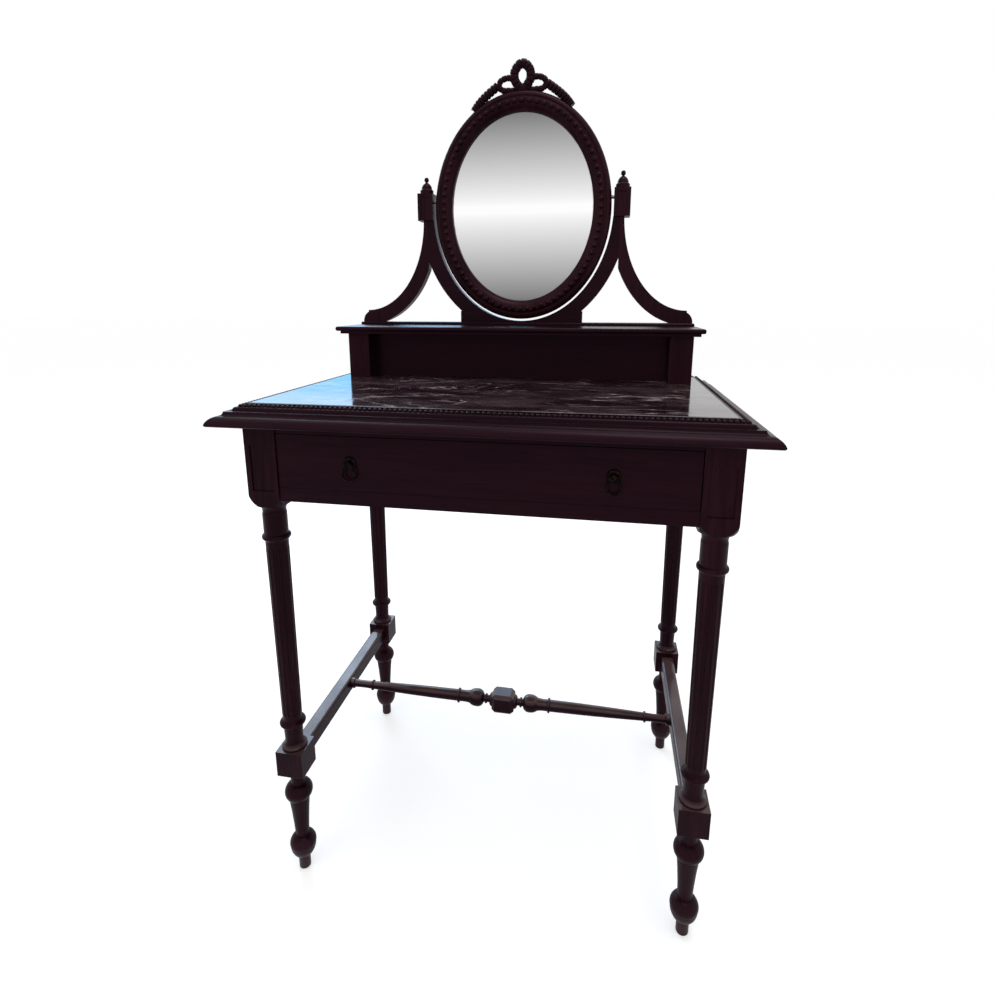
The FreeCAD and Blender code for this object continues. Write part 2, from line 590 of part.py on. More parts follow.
def frame_section():
    """The moulding's section: distance out from the marble's edge, height under its face."""
    seat_out = LIP_WIDTH + BEAD_SEAT_WIDTH
    fillet_in = seat_out + 5.0
    fillet_out = fillet_in + FILLET_WIDTH
    step = fillet_out + 3.2
    section = [(-FRAME_LEDGE, -FRAME_THICK), (FRAME_WIDTH - 1.5, -FRAME_THICK)]
    section += [(FRAME_WIDTH, -FRAME_THICK + 1.5), (FRAME_WIDTH, -NOSE_DROP)]
    section += [(step + 1, -STEP_DROP, NOSE_BULGE), (step, -STEP_DROP)]
    section += [(fillet_out, -FILLET_DROP, -0.9), (fillet_in, -FILLET_DROP)]
    section += [(fillet_in - 0.5, -GROOVE_DROP), (fillet_in - 2.0, -GROOVE_DROP)]
    section += [(fillet_in - 3.0, -BEAD_SEAT_DROP - 2.0), (seat_out, -BEAD_SEAT_DROP, 0.3)]
    section += [(LIP_WIDTH, -BEAD_SEAT_DROP), (LIP_WIDTH, -0.5), (0.0, -0.5)]
    section += [(0.0, -MARBLE_THICK), (-FRAME_LEDGE, -MARBLE_THICK)]
    return section


def bead_section():
    """The pearl row's section: a half-round bead on its flat seat."""
    seat = -BEAD_SEAT_DROP
    return [(BEAD_OFFSET + BEAD_RADIUS, seat), (BEAD_OFFSET - BEAD_RADIUS, seat, BEAD_RADIUS)]


def front_run(section):
    """A moulding along the front, cut to a mitre at both ends."""
    inner = FRAME_WIDTH + FRAME_LEDGE
    wire = outline(section, lambda w, z: Vector(-HALF_WIDTH, MARBLE_FRONT - w, TOP_HEIGHT + z))
    bar = Part.Face(wire).extrude(Vector(TOP_WIDTH, 0, 0))
    back = FRONT + inner
    plan = [(-HALF_WIDTH, FRONT), (HALF_WIDTH, FRONT), (HALF_WIDTH - inner, back), (inner - HALF_WIDTH, back)]
    wedge = Part.Face(outline(plan, lambda x, y: Vector(x, y, FRAME_UNDER)))
    return bar.common(wedge.extrude(Vector(0, 0, FRAME_THICK)))


def side_run(section, side):
    """A moulding along one end, mitred at the front and square at the back."""
    inner = HALF_WIDTH - FRAME_WIDTH - FRAME_LEDGE
    wire = outline(section, lambda w, z: Vector(MARBLE_HALF + w, FRONT, TOP_HEIGHT + z))
    bar = board(wire, FRONT, BACK)
    mitre_end = FRONT + FRAME_WIDTH + FRAME_LEDGE
    plan = [(HALF_WIDTH, FRONT), (HALF_WIDTH, BACK), (inner, BACK), (inner, mitre_end)]
    wedge = Part.Face(outline(plan, lambda x, y: Vector(x, y, FRAME_UNDER)))
    return mirrored(bar.common(wedge.extrude(Vector(0, 0, FRAME_THICK))), side)


def back_rail():
    """The plain back member of the frame, stepped at its ends over the side ledges."""
    half = MARBLE_HALF - FRAME_LEDGE
    upper = box(-MARBLE_HALF, MARBLE_HALF, MARBLE_BACK, BACK, LEDGE_TOP, TOP_HEIGHT)
    return upper.fuse(box(-half, half, MARBLE_BACK - FRAME_LEDGE, BACK, FRAME_UNDER, LEDGE_TOP))


def marble_bed():
    """The thin board that carries the middle of the marble, between the frame's ledges."""
    half = MARBLE_HALF - FRAME_LEDGE - FIT
    y0, y1 = MARBLE_FRONT + FRAME_LEDGE + FIT, MARBLE_BACK - FRAME_LEDGE - FIT
    return box(-half, half, y0, y1, FRAME_UNDER, LEDGE_TOP)


def marble():
    """The polished slab, dropped into the frame."""
    half = MARBLE_HALF - FIT
    slab = box(-half, half, MARBLE_FRONT + FIT, MARBLE_BACK - FIT, LEDGE_TOP, TOP_HEIGHT)
    arris = [e for e in slab.Edges if e.BoundBox.ZMin > LEDGE_TOP + 1 and e.BoundBox.YMin < 0]
    return slab.makeFillet(MARBLE_ROUND, arris)


def dovetails(side, grow):
    """The tails on the front end of a drawer side, grown by a fit for their sockets."""
    outer = side * DRAWER_HALF
    depth = -side * (DRAWER_SIDE_THICK + grow)
    pitch = (DRAWER_TOP - DRAWER_Z) / TAIL_COUNT
    tip = DRAWER_INNER - TAIL_LENGTH - grow
    root, wide = TAIL_WIDTH / 2 - TAIL_SPREAD + grow, TAIL_WIDTH / 2 + grow
    tails = []
    for index in range(TAIL_COUNT):
        middle = DRAWER_Z + (index + 0.5) * pitch
        shape = [(DRAWER_INNER, middle - root), (DRAWER_INNER, middle + root)]
        shape += [(tip, middle + wide), (tip, middle - wide)]
        wire = outline(shape, lambda y, z: Vector(outer, y, z))
        tails.append(Part.Face(wire).extrude(Vector(depth, 0, 0)))
    return tails


def drawer_bottom(fit):
    """The drawer bottom, or, grown by a fit, the space of the grooves that hold it."""
    half = DRAWER_HALF - DRAWER_SIDE_THICK + GROOVE_DEPTH + fit
    z0 = DRAWER_Z + DRAWER_BOTTOM_LIFT
    z1 = z0 + DRAWER_BOTTOM_THICK
    return box(-half, half, DRAWER_INNER - GROOVE_DEPTH - fit, DRAWER_END, z0 - fit, z1 + fit)


def drawer_front():
    """The drawer front: socketed for the tails, grooved for the bottom and bored for the pulls."""
    front = box(-DRAWER_HALF, DRAWER_HALF, RAIL_FACE, DRAWER_INNER, DRAWER_Z, DRAWER_TOP)
    cuts = dovetails(-1, FIT) + dovetails(1, FIT) + [drawer_bottom(FIT)]
    for name, side in SIDES:
        x = side * PULL_SPAN / 2
        cuts.append(bore(PULL_POST_RADIUS + FIT, DRAWER_FRONT_THICK, x, RAIL_FACE, PULL_Z, (0, 1, 0)))
    return front.cut(cuts)


def drawer_side(side):
    """One drawer side with its tails and the groove for the bottom."""
    outer = side * DRAWER_HALF
    inner = outer - side * DRAWER_SIDE_THICK
    plank = box(outer, inner, DRAWER_INNER, DRAWER_END, DRAWER_Z, DRAWER_TOP)
    return plank.fuse(dovetails(side, 0.0)).cut(drawer_bottom(FIT))


def drawer_back():
    """The drawer back, standing on the bottom between the sides."""
    half = DRAWER_HALF - DRAWER_SIDE_THICK
    z0 = DRAWER_Z + DRAWER_BOTTOM_LIFT + DRAWER_BOTTOM_THICK
    return box(-half, half, DRAWER_END - DRAWER_BACK_THICK, DRAWER_END, z0, DRAWER_TOP)


def pull_plate(side):
    """A round rose with the boss that carries the ring and the post through the drawer front."""
    rose = [(PULL_PLATE_RADIUS, 0.0), (PULL_PLATE_RADIUS, 0.8)]
    rose += [(PULL_PLATE_RADIUS - 3, PULL_PLATE_THICK, 0.6), (PULL_BOSS_RADIUS - 0.8, PULL_PLATE_THICK)]
    rose += [(PULL_BOSS_RADIUS, PULL_PLATE_THICK + 1), (PULL_BOSS_RADIUS, PULL_BOSS_LENGTH - 1)]
    rose.append((PULL_BOSS_RADIUS - 1.5, PULL_BOSS_LENGTH, 0.4))
    head = turned(rose)
    head.rotate(Vector(0, 0, 0), Vector(1, 0, 0), 90)
    x = side * PULL_SPAN / 2
    head.translate(Vector(x, RAIL_FACE, PULL_Z))
    post_length = DRAWER_FRONT_THICK + PULL_NUT_THICK + 1
    post = bore(PULL_POST_RADIUS, post_length, x, RAIL_FACE, PULL_Z, (0, 1, 0))
    reach = PULL_BOSS_RADIUS + 1
    hole = bore(PULL_WIRE_RADIUS + PULL_PIN_FIT, 2 * reach, x - reach, PULL_PIN_Y, PULL_Z, (1, 0, 0))
    return head.fuse(post).cut(hole)


def pull_nut(side):
    """The nut on a pull's post, inside the drawer."""
    x = side * PULL_SPAN / 2
    turns = [math.pi / 3 * corner for corner in range(6)]
    hexagon = [(PULL_NUT_RADIUS * math.cos(turn), PULL_NUT_RADIUS * math.sin(turn)) for turn in turns]
    wire = outline(hexagon, lambda a, b: Vector(x + a, DRAWER_INNER, PULL_Z + b))
    nut = board(wire, DRAWER_INNER, DRAWER_INNER + PULL_NUT_THICK)
    hole_radius = PULL_POST_RADIUS + PULL_PIN_FIT
    return nut.cut(bore(hole_radius, PULL_NUT_THICK, x, DRAWER_INNER, PULL_Z, (0, 1, 0)))


def pull_ring(side):
    """The drop ring, bent round the middle of its bar: a straight bar in the boss, a round loop below it."""
    bar, half = PULL_BAR_LENGTH / 2, PULL_RING_WIDTH / 2 - PULL_WIRE_RADIUS
    low = PULL_WIRE_RADIUS - PULL_RING_DROP
    start, top_right, top_left = Vector(0, 0, 0), Vector(bar, 0, 0), Vector(-bar, 0, 0)
    right, left, bottom = Vector(half, 0, low + half), Vector(-half, 0, low + half), Vector(0, 0, low)
    path = [Part.makeLine(start, top_right), Part.makeLine(top_right, right)]
    path.append(Part.Arc(right, bottom, left).toShape())
    path += [Part.makeLine(left, top_left), Part.makeLine(top_left, start)]
    sweep = Part.BRepOffsetAPI.MakePipeShell(Part.Wire(path))
    sweep.add(Part.Wire([Part.makeCircle(PULL_WIRE_RADIUS, start, Vector(1, 0, 0))]))
    sweep.setTransitionMode(2)
    sweep.build()
    sweep.makeSolid()
    ring = sweep.shape()
    ring.translate(Vector(side * PULL_SPAN / 2, PULL_PIN_Y, PULL_Z))
    return ring


def shelf_board():
    """The shelf: a rounded nose over a thinner moulded underside."""
    half = SHELF_WIDTH / 2
    nose_low = SHELF_TOP - SHELF_NOSE_THICK
    nose = box(-half, half, SHELF_FRONT, SHELF_BACK, nose_low, SHELF_TOP)
    shown = [e for e in nose.Edges if e.BoundBox.ZLength < 0.01 and e.BoundBox.YMin < SHELF_BACK - 1]
    nose = nose.makeFillet(SHELF_NOSE_ROUND, shown)
    inset = half - SHELF_UNDER_INSET
    return nose.fuse(box(-inset, inset, SHELF_FRONT + SHELF_UNDER_INSET, SHELF_BACK, SHELF_UNDER, nose_low))


def shelf_pilaster(side):
    """The square corner piece that carries one front corner of the shelf."""
    inner = side * (SHELF_HALF - PILASTER_WIDTH)
    return box(side * SHELF_HALF, inner, PILASTER_FACE, PILASTER_REAR, TOP_HEIGHT, SHELF_UNDER)


def shelf_side(side):
    """The board that closes one end, from the corner piece to the back board."""
    inner = side * (SHELF_HALF - SHELF_SIDE_THICK)
    rear = SHELF_REAR - SHELF_BACK_THICK
    return box(side * SHELF_HALF, inner, PILASTER_REAR, rear, TOP_HEIGHT, SHELF_UNDER)


def shelf_riser():
    """The panel under the shelf, set back between the two corner pieces."""
    half = SHELF_HALF - PILASTER_WIDTH
    face = PILASTER_FACE + RISER_SETBACK
    return box(-half, half, face, face + RISER_THICK, TOP_HEIGHT, SHELF_UNDER)


def shelf_back():
    """The board that closes the shelf's back, across both sides."""
    return box(-SHELF_HALF, SHELF_HALF, SHELF_REAR - SHELF_BACK_THICK, SHELF_REAR, TOP_HEIGHT, SHELF_UNDER)


def stand_base():
    """The thin board that the mirror stand is built on."""
    half = STAND_BASE_WIDTH / 2
    y0 = MIRROR_Y - STAND_BASE_DEPTH / 2
    plank = box(-half, half, y0, y0 + STAND_BASE_DEPTH, SHELF_TOP, STAND_Z)
    top_edges = [e for e in plank.Edges if e.BoundBox.ZMin > STAND_Z - 0.01]
    return plank.makeChamfer(STAND_BASE_CHAMFER, top_edges)


def cradle():
    """The crescent round the lower half of the mirror, with its pedestal."""
    bow = board(oval(CRADLE_RX, CRADLE_RZ, STAND_FACE), STAND_FACE, STAND_REAR)
    bow = bow.common(box(-SPLIT_X, SPLIT_X, STAND_FACE, STAND_REAR, STAND_Z, BLOCK_Z))
    foot = PEDESTAL_WIDTH / 2
    pedestal = box(-foot, foot, STAND_FACE, STAND_REAR, STAND_Z, STAND_Z + PEDESTAL_HEIGHT)
    hollow = oval(MIRROR_RX + MIRROR_GAP, MIRROR_RZ + MIRROR_GAP, STAND_FACE)
    return bow.fuse(pedestal).cut(board(hollow, STAND_FACE, STAND_REAR))


def scroll_bracket(side):
    """The sweeping side bracket: a band between two quarter ovals that ends in a rounded toe."""
    x = SPLIT_X + BRACKET_REACH
    z = BLOCK_Z + BRACKET_RISE
    under = board(oval(BRACKET_LOW_RX, BRACKET_LOW_RZ, STAND_FACE, x, z), STAND_FACE, STAND_REAR)
    over = board(oval(BRACKET_TOP_RX, BRACKET_TOP_RZ, STAND_FACE, x, z), STAND_FACE, STAND_REAR)
    band = under.common(box(SPLIT_X, x, STAND_FACE, STAND_REAR, STAND_Z, BLOCK_Z)).cut(over)
    toe_top = z - BRACKET_TOP_RZ - BRACKET_TOE_STEP
    heel = x - BRACKET_TOE
    toe = [(heel, STAND_Z), (x + BRACKET_TOE, STAND_Z), (x, toe_top, 3.0), (heel, toe_top)]
    wire = outline(toe, lambda a, b: Vector(a, STAND_FACE, b))
    return mirrored(band.fuse(board(wire, STAND_FACE, STAND_REAR)), side)


def mirror_post(side):
    """The square block that holds one mirror pivot, bored for the pin, with a sunk panel in front."""
    half = POST_BLOCK / 2
    x = side * POST_X
    y0, y1 = MIRROR_Y - half, MIRROR_Y + half
    block = box(x - half, x + half, y0, y1, BLOCK_Z, BLOCK_Z + POST_BLOCK_HEIGHT)
    face = half - POST_PANEL_MARGIN
    panel = box(x - face, x + face, y0, y0 + POST_PANEL_DEPTH, BLOCK_Z + POST_PANEL_MARGIN,
                BLOCK_Z + POST_BLOCK_HEIGHT - POST_PANEL_MARGIN)
    hole = bore(PIN_RADIUS + PIN_FIT, PIN_LENGTH, side * PIN_X, MIRROR_Y, PIVOT_Z, (side, 0, 0))
    return block.cut([panel, hole])


def pivot_pin(side):
    """A steel pin fixed in the mirror's rim that turns in the post."""
    return bore(PIN_RADIUS, PIN_LENGTH - 1, side * PIN_X, MIRROR_Y, PIVOT_Z, (side, 0, 0))


def finial(side):
    """The turned tip on a post: a stepped base, a dome and a small ball."""
    dome = FINIAL_BASE_HEIGHT + FINIAL_DOME_HEIGHT
    ball = dome + 1
    shape = [(FINIAL_BASE_RADIUS, 0.0), (FINIAL_BASE_RADIUS, FINIAL_BASE_HEIGHT - 2)]
    shape += [(FINIAL_BASE_RADIUS - 2, FINIAL_BASE_HEIGHT), (FINIAL_DOME_RADIUS, FINIAL_BASE_HEIGHT)]
    shape += [(FINIAL_NECK_RADIUS, dome, 2.0), (FINIAL_NECK_RADIUS, ball)]
    shape += [(FINIAL_TIP_RADIUS, ball + FINIAL_TIP_RADIUS, 0.9), (0.4, ball + 2 * FINIAL_TIP_RADIUS, 1.2)]
    piece = turned(shape)
    piece.translate(Vector(side * POST_X, MIRROR_Y, BLOCK_Z + POST_BLOCK_HEIGHT))
    return piece


def mirror_frame():
    """The moulded oval rim: rolled outside, bevelled to the glass, rebated at the back for it."""
    roll = ((RIM_ROLL, 0.0), (RIM_BEVEL, 1.5), (1.0, RIM_BEVEL), (0.0, RIM_BEVEL + 3), (0.0, MIRROR_THICK))
    slope = ((SIGHT_BEVEL, 0.0), (2.0, SIGHT_DEPTH - 2), (0.0, SIGHT_DEPTH), (0.0, MIRROR_THICK))
    rim = oval_stack([(MIRROR_RX - cut, MIRROR_RZ - cut, MIRROR_FACE + y) for cut, y in roll])
    sight = oval_stack([(SIGHT_RX + cut, SIGHT_RZ + cut, MIRROR_FACE + y) for cut, y in slope])
    rebate_face = MIRROR_BACK - REBATE_DEPTH
    rebate = board(oval(SIGHT_RX + REBATE, SIGHT_RZ + REBATE, rebate_face), rebate_face, MIRROR_BACK)
    holes = []
    for name, side in SIDES:
        holes.append(bore(PIN_RADIUS + PIN_FIT, PIN_LENGTH, side * PIN_X, MIRROR_Y, PIVOT_Z, (side, 0, 0)))
    return rim.cut([sight, rebate] + holes)


def mirror_beads():
    """The pearl row round the glass, as one oval bead."""
    rx, rz = SIGHT_RX + PEARL_OFFSET, SIGHT_RZ + PEARL_OFFSET
    rows = []
    for sign in (1, -1):
        layers = []
        for degrees in (0, 30, 60):
            out = sign * PEARL_RADIUS * math.cos(math.radians(degrees))
            rise = PEARL_RADIUS * math.sin(math.radians(degrees))
            layers.append((rx + out, rz + out, MIRROR_FACE - rise))
        rows.append(oval_stack(layers))
    return rows[0].cut(rows[1])


def mirror_plate(face, thick):
    """An oval sheet in the rim's rebate."""
    return board(oval(SIGHT_RX + REBATE - FIT, SIGHT_RZ + REBATE - FIT, face), face, face + thick)


def crest_oval(x, up, width, height, tilt):
    """A flat oval of the bow, by its place above the mirror's rim."""
    y = MIRROR_FACE + CREST_SETBACK
    return board(oval(width / 2, height / 2, y, x, CREST_Z + up, tilt), y, y + CREST_THICK)


def ribbon_tail(side):
    """One end of the ribbon, curving from a side loop down to the rim."""
    y = MIRROR_FACE + CREST_SETBACK
    start = SIDE_LOOP_OUT + SIDE_LOOP_WIDTH / 4
    rim = MIRROR_Z + MIRROR_RZ * math.sqrt(1 - (RIBBON_REACH / MIRROR_RX) ** 2)
    tail = [(start, CREST_Z - 4), (RIBBON_REACH - RIBBON_BAND, rim + 7, -RIBBON_HOLLOW)]
    tail += [(RIBBON_REACH, rim - 1), (RIBBON_REACH + 2, rim + 7)]
    tail.append((start, CREST_Z + SIDE_LOOP_UP, RIBBON_BULGE))
    return mirrored(board(outline(tail, lambda x, z: Vector(x, y, z)), y, y + CREST_THICK), side)


def mirror_crest():
    """The pierced ribbon bow: an upright loop, two side loops, a knot and two tails on the rim."""
    y = MIRROR_FACE + CREST_SETBACK
    loop_up = CREST_RISE - LOOP_HEIGHT / 2
    half = KNOT_WIDTH / 2
    ribbon = [box(-half, half, y, y + CREST_THICK, CREST_Z - 6, CREST_Z + KNOT_HEIGHT)]
    eyes = [crest_oval(0.0, loop_up, LOOP_EYE_WIDTH, LOOP_EYE_HEIGHT, 0.0)]
    for name, side in SIDES:
        tilt = side * SIDE_LOOP_TILT
        ribbon.append(crest_oval(side * SIDE_LOOP_OUT, SIDE_LOOP_UP, SIDE_LOOP_WIDTH, SIDE_LOOP_HEIGHT, tilt))
        ribbon.append(ribbon_tail(side))
        eyes.append(crest_oval(side * SIDE_EYE_OUT, SIDE_EYE_UP, SIDE_EYE_WIDTH, SIDE_EYE_HEIGHT, tilt))
    bow = crest_oval(0.0, loop_up, LOOP_WIDTH, LOOP_HEIGHT, 0.0).fuse(ribbon).cut(eyes)
    return bow.cut(board(oval(MIRROR_RX + FIT, MIRROR_RZ + FIT, y), y, y + CREST_THICK))


def build():
    """Make every piece and write it under its own name."""
    for name, side in SIDES:
        save("leg_front_" + name, leg(side, -1))
        save("leg_back_" + name, leg(side, 1))
        save("side_stretcher_" + name, side_stretcher(side))
        save("side_apron_" + name, side_apron(side))
        save("drawer_runner_" + name, runner(side))
        save("drawer_kicker_" + name, kicker(side))
        save("top_moulding_" + name, side_run(frame_section(), side))
        save("bead_strip_" + name, side_run(bead_section(), side))
        save("drawer_side_" + name, drawer_side(side))
        save("pull_plate_" + name, pull_plate(side))
        save("pull_ring_" + name, pull_ring(side))
        save("shelf_pilaster_" + name, shelf_pilaster(side))
        save("shelf_side_" + name, shelf_side(side))
        save("scroll_bracket_" + name, scroll_bracket(side))
        save("mirror_post_" + name, mirror_post(side))
        save("finial_" + name, finial(side))
        save("pivot_pin_" + name, pivot_pin(side))
    save("centre_stretcher", centre_stretcher())
    save("back_apron", back_apron())
    save("front_lower_rail", front_rail(APRON_Z, LOWER_RAIL_TOP))
    save("front_upper_rail", front_rail(UPPER_RAIL_Z, FRAME_UNDER))
    save("top_moulding_front", front_run(frame_section()))
    save("bead_strip_front", front_run(bead_section()))
    save("top_rail_back", back_rail())
    save("marble_bed", marble_bed())
    save("marble_top", marble())
    save("drawer_front", drawer_front())
    save("drawer_back", drawer_back())
    save("drawer_bottom", drawer_bottom(0.0))
    save("pull_nuts", Part.makeCompound([pull_nut(side) for name, side in SIDES]))
    save("shelf_board", shelf_board())
    save("shelf_riser", shelf_riser())
    save("shelf_back", shelf_back())
    save("mirror_base", stand_base())
    save("mirror_cradle", cradle())
    save("mirror_frame", mirror_frame())
    save("mirror_beads", mirror_beads())
    glass_face = MIRROR_BACK - REBATE_DEPTH
    save("mirror_glass", mirror_plate(glass_face, GLASS_THICK))
    save("mirror_backboard", mirror_plate(glass_face + GLASS_THICK, BACKBOARD_THICK))
    save("mirror_crest", mirror_crest())


os.makedirs("parts", exist_ok=True)
build()
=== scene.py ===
# %% [markdown]
# # A dressing table with a tilting mirror
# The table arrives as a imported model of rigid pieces: legs, rails, marble, drawer, shelf and mirror. Each
# piece keeps its place, and this lesson dresses it: first the camera and the studio, then the finishes, then
# the carved pieces that a plain solid can't show. The box of the loaded model is kept, so that the carving can
# be held inside it.

# %% Load the table
import json
import math
import bpy
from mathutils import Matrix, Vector


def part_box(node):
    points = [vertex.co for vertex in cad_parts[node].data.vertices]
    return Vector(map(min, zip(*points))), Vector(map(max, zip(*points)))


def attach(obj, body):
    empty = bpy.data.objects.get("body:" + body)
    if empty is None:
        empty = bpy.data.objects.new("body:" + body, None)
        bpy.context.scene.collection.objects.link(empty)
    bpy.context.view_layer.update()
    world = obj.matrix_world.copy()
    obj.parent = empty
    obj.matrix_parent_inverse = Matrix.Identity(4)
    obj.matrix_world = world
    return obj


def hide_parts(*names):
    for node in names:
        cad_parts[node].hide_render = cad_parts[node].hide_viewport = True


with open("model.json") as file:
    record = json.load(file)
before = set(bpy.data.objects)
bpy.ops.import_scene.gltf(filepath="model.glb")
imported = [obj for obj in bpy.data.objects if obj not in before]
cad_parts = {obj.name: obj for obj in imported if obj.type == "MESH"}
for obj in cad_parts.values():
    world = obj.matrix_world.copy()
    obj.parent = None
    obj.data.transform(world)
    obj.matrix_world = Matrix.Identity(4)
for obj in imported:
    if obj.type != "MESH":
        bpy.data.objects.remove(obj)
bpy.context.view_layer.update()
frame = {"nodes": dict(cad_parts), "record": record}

pieces = frame["nodes"]

# %% [markdown]
# The camera stands a little right of the middle, at the height of a person's chest, turned left and tilted
# down, with a wide lens as in a phone. A vertical shift crops the picture as the photograph is cropped, without
# tilting it.

# %% Camera
EYE = (0.1486, -0.8617, 0.8727)
TILT_DOWN = 12.52
TURN_LEFT = 10.06
LENS = 21.24
SENSOR = 36.0
SHIFT = (-0.0026, -0.066)
bpy.ops.object.select_all(action="DESELECT")
aim = (math.radians(90 - TILT_DOWN), 0, math.radians(TURN_LEFT))
bpy.ops.object.camera_add(location=EYE, rotation=aim)
camera = bpy.context.object
camera.name = "viewing_camera"
camera.data.lens = LENS
camera.data.sensor_width = SENSOR
camera.data.shift_x, camera.data.shift_y = SHIFT
bpy.context.scene.camera = camera
print("camera at", EYE)

# %% [markdown]
# The studio is a pale floor and an even white surround. The surround is plain white to the eye and in
# reflections and softer as a light, so that the dark polish keeps its depth. Two cool panels behind the left
# end light the table as the window does. Polish also sees the window itself, as two glowing cards that nothing
# else sees: the lower blue one shines in the marble, the higher and paler one on the stretchers. A large panel
# fills the front. The floor adds a little glow of its own towards the eye, so that it meets the surround
# without a line and still takes the shadow of the legs.

# %% Studio
SURROUND_SEEN = 1.0
SURROUND_LIGHT = 0.6
FLOOR_GLOW = 0.44
FLOOR_SPAN = 60.0
PANE_LEFT = -3.2
PANE_RIGHT = 0.0
PANE_Y = 2.9
WHITE = (1.0, 1.0, 1.0, 1.0)
BLACK = (0.0, 0.0, 0.0, 1.0)

scene = bpy.context.scene
scene.view_settings.view_transform = "Standard"
scene.world = bpy.data.worlds.new("white_surround")
scene.world.use_nodes = True
surround = scene.world.node_tree
surround.nodes.clear()
path = surround.nodes.new("ShaderNodeLightPath")
seen = path.outputs["Is Camera Ray"]
for ray in ("Is Glossy Ray", "Is Transmission Ray"):
    either = surround.nodes.new("ShaderNodeMath")
    either.operation = "MAXIMUM"
    surround.links.new(seen, either.inputs[0])
    surround.links.new(path.outputs[ray], either.inputs[1])
    seen = either.outputs[0]
strength = surround.nodes.new("ShaderNodeMapRange")
strength.inputs["To Min"].default_value = SURROUND_LIGHT
strength.inputs["To Max"].default_value = SURROUND_SEEN
surround.links.new(seen, strength.inputs["Value"])
glow = surround.nodes.new("ShaderNodeBackground")
glow.inputs["Color"].default_value = WHITE
surround.links.new(strength.outputs["Result"], glow.inputs["Strength"])
sky = surround.nodes.new("ShaderNodeOutputWorld")
surround.links.new(glow.outputs["Background"], sky.inputs["Surface"])


def soft_panel(name, place, aim, size, power, colour, mirrored):
    """A square soft light that faces a point; the eye doesn't see it, and polish only where it is mirrored."""
    bpy.ops.object.light_add(type="AREA", location=place)
    panel = bpy.context.object
    panel.name = name
    panel.data.size = size
    panel.data.energy = power
    panel.data.color = colour
    panel.rotation_euler = (Vector(aim) - Vector(place)).to_track_quat("-Z", "Y").to_euler()
    panel.visible_camera = False
    panel.visible_glossy = mirrored


soft_panel("front_panel", place=(-1.5, -2.4, 2.6), aim=(0, 0, 0.6), size=2.0, power=14.0,
           colour=(1.0, 0.96, 0.93), mirrored=False)
soft_panel("window_panel", place=(-1.5, 2.1, 1.5), aim=(-0.2, 0, 0.9), size=1.8, power=10.0,
           colour=(0.05, 0.45, 1.0), mirrored=False)
soft_panel("sky_panel", place=(-1.6, 2.3, 2.3), aim=(-0.1, 0, 0.5), size=1.4, power=20.0,
           colour=(0.75, 0.88, 1.0), mirrored=True)
soft_panel("top_panel", place=(0.4, -0.3, 3.2), aim=(0, 0, 0.4), size=1.2, power=20.0,
           colour=(1.0, 0.98, 0.96), mirrored=True)


def window_pane(name, low, high, colour, strength):
    """An upright glowing card behind the left end, between two heights, that only polish reflects."""
    middle = ((PANE_LEFT + PANE_RIGHT) / 2, PANE_Y, (low + high) / 2)
    bpy.ops.mesh.primitive_plane_add(size=1.0, location=middle, rotation=(math.radians(90), 0, 0))
    pane = bpy.context.object
    pane.name = name
    pane.scale = (PANE_RIGHT - PANE_LEFT, high - low, 1.0)
    light = bpy.data.materials.new(name + "_light")
    light.use_nodes = True
    shader = light.node_tree.nodes["Principled BSDF"]
    shader.inputs["Base Color"].default_value = BLACK
    shader.inputs["Specular IOR Level"].default_value = 0.0
    shader.inputs["Emission Color"].default_value = colour
    shader.inputs["Emission Strength"].default_value = strength
    pane.data.materials.append(light)
    pane.visible_camera = pane.visible_diffuse = pane.visible_shadow = pane.visible_transmission = False


window_pane("window_pane_low", low=0.75, high=1.25, colour=(0.24, 0.62, 1.0, 1.0), strength=2.1)
window_pane("window_pane_high", low=1.25, high=3.2, colour=(0.52, 0.74, 1.0, 1.0), strength=2.6)

bpy.ops.mesh.primitive_plane_add(size=FLOOR_SPAN, location=(0, 0, 0))
floor = bpy.context.object
floor.name = "studio_floor"
paint = bpy.data.materials.new("pale_floor")
paint.use_nodes = True
paint_coat = paint.node_tree.nodes["Principled BSDF"]
paint_coat.inputs["Base Color"].default_value = (0.9, 0.9, 0.9, 1.0)
paint_coat.inputs["Roughness"].default_value = 0.9
paint_coat.inputs["Specular IOR Level"].default_value = 0.05
paint_coat.inputs["Emission Color"].default_value = WHITE
eye_ray = paint.node_tree.nodes.new("ShaderNodeLightPath")
lift = paint.node_tree.nodes.new("ShaderNodeMath")
lift.operation = "MULTIPLY"
lift.inputs[1].default_value = FLOOR_GLOW
paint.node_tree.links.new(eye_ray.outputs["Is Camera Ray"], lift.inputs[0])
paint.node_tree.links.new(lift.outputs[0], paint_coat.inputs["Emission Strength"])
floor.data.materials.append(paint)

# %% [markdown]
# Polished mahogany shows three scales at once: broad bands of darker and lighter wood, fine fibres along the
# length of the board, and short open pores. The same recipe serves every board, so it is one node group. The
# board's own direction comes from outside: the coordinates are squeezed along the grain before they reach the
# group. Scales count repeats in a metre.

# %% Wood grain group
CLOUD_SCALE = 5.0
FIGURE_SCALE = 22.0
FIBRE_SCALE = 190.0
PORE_SCALE = 520.0
PORE_COLOUR = (0.003, 0.0014, 0.0014, 1.0)


def wire(tree, source, out_name, target, in_name):
    """Join two sockets, given by name or number."""
    tree.links.new(source.outputs[out_name], target.inputs[in_name])


def noise(tree, vector, scale, detail, twist):
    """A noise pattern on a vector socket."""
    node = tree.nodes.new("ShaderNodeTexNoise")
    node.inputs["Scale"].default_value = scale
    node.inputs["Detail"].default_value = detail
    node.inputs["Distortion"].default_value = twist
    tree.links.new(vector, node.inputs["Vector"])
    return node.outputs["Fac"]


